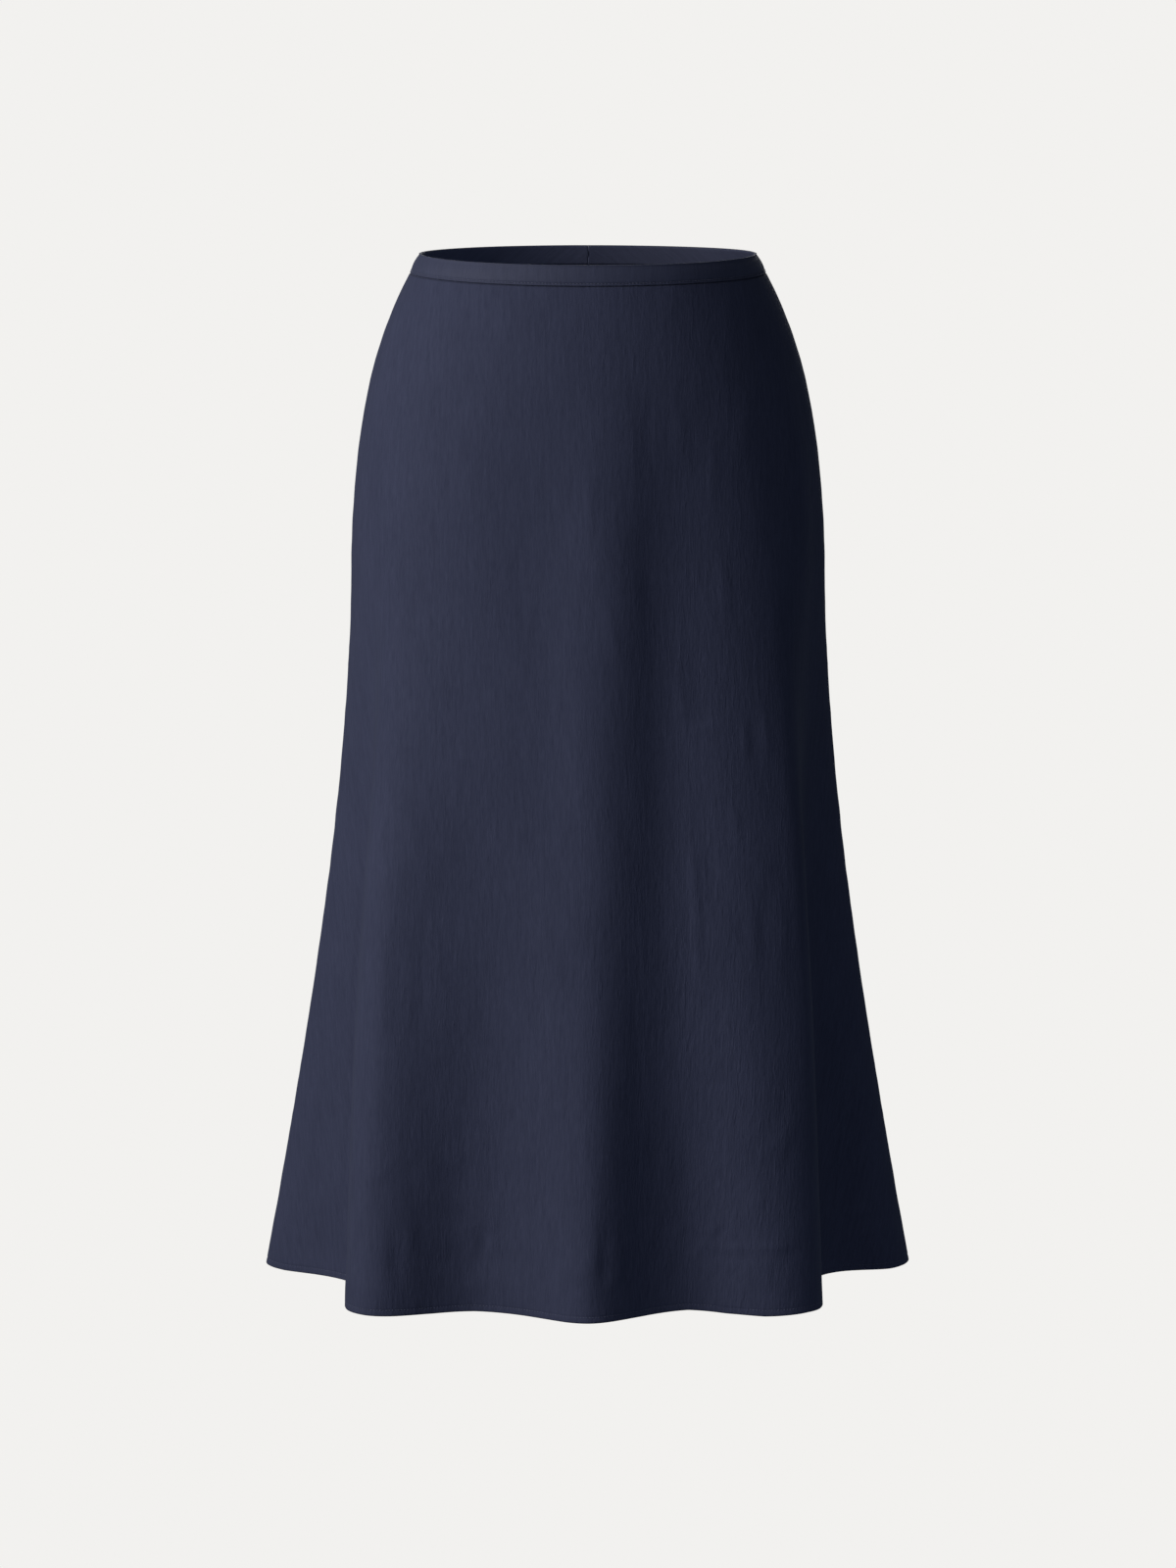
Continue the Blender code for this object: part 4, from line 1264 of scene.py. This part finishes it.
def zip_tape_half(name, side):
    """A flat closed strip: point (down, round its rim) = cloth + outward direction times the depth
    of its near or far face. The two edges of the rim are half circles."""
    drop_of_row = np.linspace(TAPE_TOP, ZIP_LENGTH, TAPE_ROWS)
    half = TAPE_THICKNESS / 2
    turn = np.radians([-90, -45, 0, 45, 90])
    flat_part = np.linspace(0, 1, 13)[1:-1]
    width = TAPE_WIDTH / 2 - TAPE_PARTING
    edge = half * TAPE_ROUND
    rim_across = np.concatenate([
        width - edge + edge * np.cos(turn),
        width - edge - (width - 2 * edge) * flat_part,
        edge - edge * np.cos(turn),
        edge + (width - 2 * edge) * flat_part,
    ])
    far = np.full(len(flat_part), half)
    rim_depth = np.concatenate([half * np.sin(turn), far, -half * np.sin(turn), -far])
    per_degree = cloth_frame(np.full(len(drop_of_row), BACK_CENTRE), drop_of_row)[3]
    angle = BACK_CENTRE + side * (TAPE_PARTING + rim_across)[None, :] / per_degree[:, None]
    drop = np.broadcast_to(drop_of_row[:, None], angle.shape)
    base = cloth(angle, drop)
    out = cloth_frame(angle, drop)[1]
    depth = tape_offset(drop) - half + rim_depth[None, :]
    points = base + out * depth[..., None]
    index = np.arange(angle.size).reshape(angle.shape)
    if side > 0:
        index = index[:, ::-1]
    faces = grid_quads(index, wrap_columns=True).tolist()
    faces += [index[0].tolist(), index[-1, ::-1].tolist()]
    flat = np.stack([side * np.broadcast_to(rim_across, angle.shape), -drop], axis=-1)
    return put_mesh(name, points.reshape(-1, 3), faces, zip_tape_cloth, flat.reshape(-1, 2))


left_tape = zip_tape_half("left_zip_tape", -1)
right_tape = zip_tape_half("right_zip_tape", 1)

# %% [markdown]
# ## Slider and pull
#
# The slider sits on the closed zip and the drop-shaped pull swings in its bridge. In the plain
# model they are boxes. Here the slider's body is a rounded block, the bridge is a bar carried
# along an arch, and the pull is a ring-shaped surface: its cross-section, a flat oval, is carried
# round the eye, from the eye's edge to the outer edge. A plate with a hole could be cut with a
# Boolean, but this grid has no cut edges to clean up.

# %% Sizes and frame of the slider
SLIDER_SIZE = (0.0044, 0.0018, 0.0080)
SEAM_GAP = 0.0003
NECK_SIZE = (0.0008, 0.0060)
BRIDGE_WIDTH = 0.0016
BRIDGE_HOLE = 0.0021
BRIDGE_BAR = 0.0008
BODY_IN = BAND_PROUD + SEAM_GAP
BODY_OUT = BODY_IN + SLIDER_SIZE[1]
HINGE_OUT = BODY_OUT + BRIDGE_HOLE / 2


def slider_frame():
    """The slider's middle and its three directions: across the zip, out of it and up it."""
    down, out, _, _ = cloth_frame(np.array([BACK_CENTRE]), np.array([SLIDER_DROP]))
    middle = cloth(np.array([BACK_CENTRE]), np.array([SLIDER_DROP]))[0]
    return middle, np.array([1.0, 0.0, 0.0]), out[0], -down[0]


def placed(local):
    """Turns points given as across, out and up into places in the frame."""
    middle, across, out, up = slider_frame()
    return middle + local[..., 0:1] * across + local[..., 1:2] * out + local[..., 2:3] * up


print("the slider's middle is at", np.round(slider_frame()[0], 4).tolist())

# %% Enamel
ENAMEL_DARK = (0.011, 0.014, 0.032, 1)
ENAMEL_LIGHT = (0.018, 0.022, 0.046, 1)


def enamel_finish(name):
    """Navy enamel over cast metal: an even satin gloss with faint clouds and fine pits."""
    made, tree, shader = new_finish(name, 0.45, 0.0, 0.4)
    shader.inputs["Coat Weight"].default_value = 0.15
    shader.inputs["Coat Roughness"].default_value = 0.18
    where = tree.nodes.new("ShaderNodeTexCoord")
    clouds = add_node(tree, "ShaderNodeTexNoise", Scale=420.0, Detail=3.0)
    pits = add_node(tree, "ShaderNodeTexNoise", Scale=2600.0, Detail=2.0)
    tree.links.new(where.outputs["Object"], clouds.inputs["Vector"])
    tree.links.new(where.outputs["Object"], pits.inputs["Vector"])
    tone = two_tones(tree, clouds.outputs["Fac"], 0.3, 0.7, ENAMEL_DARK, ENAMEL_LIGHT)
    tree.links.new(tone, shader.inputs["Base Color"])
    tree.links.new(between(tree, clouds.outputs["Fac"], 0.40, 0.54), shader.inputs["Roughness"])
    tree.links.new(bumped(tree, pits.outputs["Fac"], 0.00004, 0.4), shader.inputs["Normal"])
    return made


enamel = enamel_finish("navy_enamel")
print("the pull hinges at", np.round(placed(np.array([0, HINGE_OUT, 0.0])), 5).tolist())

# %% Slider
def signed_power(value, power):
    """The power of the value's size, with the value's own sign. On a sine or cosine, a power below
    one turns a circle into a square with round corners."""
    return np.sign(value) * np.abs(value) ** power


def rounded_block(centre, size, power=0.28, rows=17, columns=32):
    """A superellipsoid: each coordinate is half the size times the signed power of the sphere's
    sine or cosine. A small power gives flat sides and round edges."""
    half = np.array(size) / 2
    up = np.linspace(-np.pi / 2, np.pi / 2, rows)[1:-1]
    turn = np.linspace(-np.pi, np.pi, columns, endpoint=False)
    level = signed_power(np.cos(up), power)[:, None]
    x = half[0] * level * signed_power(np.cos(turn), power)
    y = half[1] * level * signed_power(np.sin(turn), power)
    z = np.broadcast_to(half[2] * signed_power(np.sin(up), power)[:, None], x.shape)
    points = np.stack([x, y, z], axis=-1).reshape(-1, 3)
    points = np.concatenate([points, [[0, 0, -half[2]], [0, 0, half[2]]]]) + np.array(centre)
    index = np.arange(x.size).reshape(x.shape)
    low, high = x.size, x.size + 1
    faces = grid_quads(index, wrap_columns=True)[:, ::-1].tolist()
    first, last = index[0], index[-1]
    faces += np.stack([np.full(columns, low), np.roll(first, -1), first], axis=1).tolist()
    faces += np.stack([np.full(columns, high), last, np.roll(last, -1)], axis=1).tolist()
    return points, faces


def bridge_arch(steps=15, sides=14):
    """A flat oval carried along a half-oval arch that stands on the slider's body."""
    turn = np.radians(np.linspace(-8, 188, steps))
    reach_out = BRIDGE_HOLE + BRIDGE_BAR / 2
    reach_up = BRIDGE_HOLE / 2 + BRIDGE_BAR / 2
    run = np.stack([np.zeros(steps), reach_out * np.sin(turn), reach_up * np.cos(turn)], -1)
    tangent = np.gradient(run, axis=0)
    tangent /= np.linalg.norm(tangent, axis=1, keepdims=True)
    outward = np.cross(tangent, np.array([1.0, 0.0, 0.0]))
    ring = np.linspace(0, 2 * np.pi, sides, endpoint=False)
    wide = signed_power(np.cos(ring), 0.6) * BRIDGE_WIDTH / 2
    thick = signed_power(np.sin(ring), 0.6) * BRIDGE_BAR / 2
    points = run[:, None, :] + wide[None, :, None] * np.array([1.0, 0.0, 0.0])
    points = points + thick[None, :, None] * outward[:, None, :]
    points[..., 1] += BODY_OUT
    index = np.arange(steps * sides).reshape(steps, sides)
    faces = grid_quads(index, wrap_columns=True).tolist()
    faces += [index[0].tolist(), index[-1, ::-1].tolist()]
    return points.reshape(-1, 3), faces


def join_parts(name, parts, finish):
    """Several closed shells in one mesh, placed by the slider's frame."""
    points, faces, first = [], [], 0
    for part_points, part_faces in parts:
        points.append(part_points)
        faces += [[corner + first for corner in face] for face in part_faces]
        first += len(part_points)
    return put_mesh(name, placed(np.concatenate(points)), faces, finish)


def turn_outwards(piece):
    """Recalculates the normals of a closed mesh so that they all point out."""
    work = bmesh.new()
    work.from_mesh(piece.data)
    bmesh.ops.recalc_face_normals(work, faces=work.faces)
    work.to_mesh(piece.data)
    work.free()


neck_in = -BAND_INSIDE - TAPE_GAP + SEAM_GAP
neck_out = BODY_IN + SLIDER_SIZE[1] / 2
neck_size = (NECK_SIZE[0], neck_out - neck_in, NECK_SIZE[1])
slider = join_parts("zip_slider_body", [
    rounded_block((0, (BODY_IN + BODY_OUT) / 2, 0), SLIDER_SIZE),
    rounded_block((0, (neck_in + neck_out) / 2, 0), neck_size),
    bridge_arch(),
], enamel)
turn_outwards(slider)

# %% [markdown]
# ## The pull
#
# The outer edge of the pull is found first, as points on a plane. Then each column of its surface
# runs between the eye's edge and that outer edge, over the front and back again behind. The pull
# is its own object, because it turns about the bridge.

# %% Pull
PULL_LENGTH = 0.0190
PULL_WIDTHS = (0.0044, 0.0060)
PULL_THICKNESS = 0.0009
PULL_EYE = (0.0024, 0.0025)
PULL_LEAN = 5.0
TAB_CORNER = 0.0012
TAB_WIDENS_FROM = 0.003


def tab_outline(turn):
    """The pull's outer edge at each angle round the eye's middle: straight top and sides that
    widen downwards, and a half-round tip."""
    narrow, wide = PULL_WIDTHS[0] / 2, PULL_WIDTHS[1] / 2
    bar = PULL_THICKNESS / 2
    tip = PULL_LENGTH - wide
    low = np.linspace(-90, 90, 25)
    arc = np.stack([wide * np.sin(np.radians(low)), -tip - wide * np.cos(np.radians(low))], 1)
    rows = np.linspace(-tip, bar - TAB_CORNER, 24)[1:]
    widening = np.clip((-TAB_WIDENS_FROM - rows) / (tip - TAB_WIDENS_FROM), 0, 1)
    side_x = narrow + (wide - narrow) * widening
    corner = np.radians(np.linspace(0, 90, 7))[1:]
    top_x = narrow - TAB_CORNER + TAB_CORNER * np.cos(corner)
    top_z = bar - TAB_CORNER + TAB_CORNER * np.sin(corner)
    right = np.stack([np.concatenate([side_x, top_x]), np.concatenate([rows, top_z])], 1)
    left = right[::-1] * np.array([-1, 1])
    loop = np.concatenate([arc, right, left])
    middle = np.array([0, -bar - PULL_EYE[1] / 2])
    way = np.degrees(np.arctan2(loop[:, 0], -(loop[:, 1] - middle[1]))) % 360
    order = np.argsort(way)
    way, loop = way[order], loop[order]
    way = np.concatenate([way[-1:] - 360, way, way[:1] + 360])
    loop = np.concatenate([loop[-1:], loop, loop[:1]])
    return np.stack([np.interp(turn, way, loop[:, 0]), np.interp(turn, way, loop[:, 1])], 1), middle


def pull_tab(name, columns=144, ring=20):
    """Point (round, ring) lies between the eye's edge and the outer edge by cos(ring), and off
    the middle plane by the flat oval's sin(ring)."""
    turn = np.linspace(0, 360, columns, endpoint=False)
    outer, middle = tab_outline(turn)
    way = np.radians(turn)
    eye_x, eye_z = PULL_EYE[0] / 2, PULL_EYE[1] / 2
    inner = np.stack([
        eye_x * signed_power(np.sin(way), 0.45),
        middle[1] - eye_z * signed_power(np.cos(way), 0.45),
    ], axis=1)
    ring_turn = np.linspace(0, 2 * np.pi, ring, endpoint=False)
    width = np.linalg.norm(outer - inner, axis=1)[:, None]
    edge = np.minimum(PULL_THICKNESS / 2 / width, 0.5)
    raw = np.cos(ring_turn)[None, :]
    rounded = edge * np.abs(raw) ** 0.7
    share = np.where(raw > 0, 1 - edge + rounded, edge - rounded)
    spread = 0.5 + 0.5 * signed_power(raw, 0.6)
    flat_part = np.abs(np.sin(ring_turn))[None, :] > 0.99
    share = np.where(flat_part, 0.5, share * 0.55 + spread * 0.45)
    across_up = inner[:, None, :] + (outer - inner)[:, None, :] * share[..., None]
    thick = signed_power(np.sin(ring_turn), 0.5) * PULL_THICKNESS / 2
    thick = np.broadcast_to(thick, share.shape)
    lean = math.radians(-PULL_LEAN)
    x = across_up[..., 0]
    y = thick * math.cos(lean) - across_up[..., 1] * math.sin(lean) + HINGE_OUT
    z = thick * math.sin(lean) + across_up[..., 1] * math.cos(lean)
    index = np.arange(x.size).reshape(x.shape)
    faces = grid_quads(index, wrap_rows=True, wrap_columns=True).tolist()
    points = placed(np.stack([x, y, z], axis=-1)).reshape(-1, 3)
    return put_mesh(name, points, faces, enamel)


pull = pull_tab("zip_pull_tab")
turn_outwards(pull)

# %% [markdown]
# ## The coil
#
# The coil lies on the inner side of the tapes. Its bars are the same spindles as the stitches,
# straight this time, shifted to the left and to the right in turn so that they mesh.

# %% Coil
COIL_PITCH = 0.0011
COIL_HALF_WIDTH = 0.0016
COIL_RADIUS = 0.00030
COIL_SHIFT = 0.0006
COIL_OFF_TAPE = 0.0002
COIL_ENDS = (0.0175, ZIP_LENGTH - 0.004)
NYLON_DARK = (0.012, 0.015, 0.032, 1)
NYLON_LIGHT = (0.020, 0.024, 0.048, 1)


def coil_row(name):
    """Small bars across the seam, one for each half turn, left and right in turn."""
    drop = np.arange(*COIL_ENDS, COIL_PITCH / 2)
    side = np.where(np.arange(len(drop)) % 2 == 0, 1.0, -1.0)
    _, out, around, speed = cloth_frame(np.full(len(drop), BACK_CENTRE), drop)
    places = cloth(BACK_CENTRE + side * COIL_SHIFT / speed, drop)
    depth = tape_offset(drop) - TAPE_THICKNESS - COIL_OFF_TAPE
    places = places + out * depth[:, None]
    bar = (COIL_HALF_WIDTH, COIL_RADIUS, 0.0, coil_nylon)
    return lay_spindles(name, places, around, out, *bar, 8)


def coil_finish(name):
    """Smooth moulded nylon with faint drawn lines."""
    made, tree, shader = new_finish(name, 0.38, 0.0, 0.5)
    where = tree.nodes.new("ShaderNodeTexCoord")
    lines = add_node(tree, "ShaderNodeTexNoise", Scale=900.0, Detail=1.0)
    tree.links.new(where.outputs["Object"], lines.inputs["Vector"])
    shade_of_line = lines.outputs["Fac"]
    tone = two_tones(tree, shade_of_line, 0.3, 0.7, NYLON_DARK, NYLON_LIGHT)
    tree.links.new(tone, shader.inputs["Base Color"])
    tree.links.new(between(tree, shade_of_line, 0.32, 0.46), shader.inputs["Roughness"])
    return made


coil_nylon = coil_finish("navy_nylon")
coil = coil_row("zip_coil")

# %% [markdown]
# ## What moves with what, and what it replaces
#
# Every piece rides on a body of the frame: all the cloth on the skirt, and only the tab on the
# pull. Each fine piece stands for the plain solid with its form.

# %% Bodies, and the plain parts the pieces replace
PIECES = (
    (front, "skirt", "front_panel", "cloth"),
    (left_back, "skirt", "back_left_panel", "cloth"),
    (right_back, "skirt", "back_right_panel", "cloth"),
    (band, "skirt", "waistband", "band"),
    (band_stitches, "skirt", None, "band"),
    (hem_stitches, "skirt", None, "cloth"),
    (left_tape, "skirt", "zip_tape", "tape"),
    (right_tape, "skirt", "zip_tape", "tape"),
    (coil, "skirt", None, "tape"),
    (slider, "skirt", "zip_slider", "enamel"),
    (pull, "pull", "zip_pull", "enamel"),
)
for piece, body, node, slot in PIECES:
    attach(piece, body)
    if node:
        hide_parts(node)

print(len(PIECES), "pieces ride on the frame")
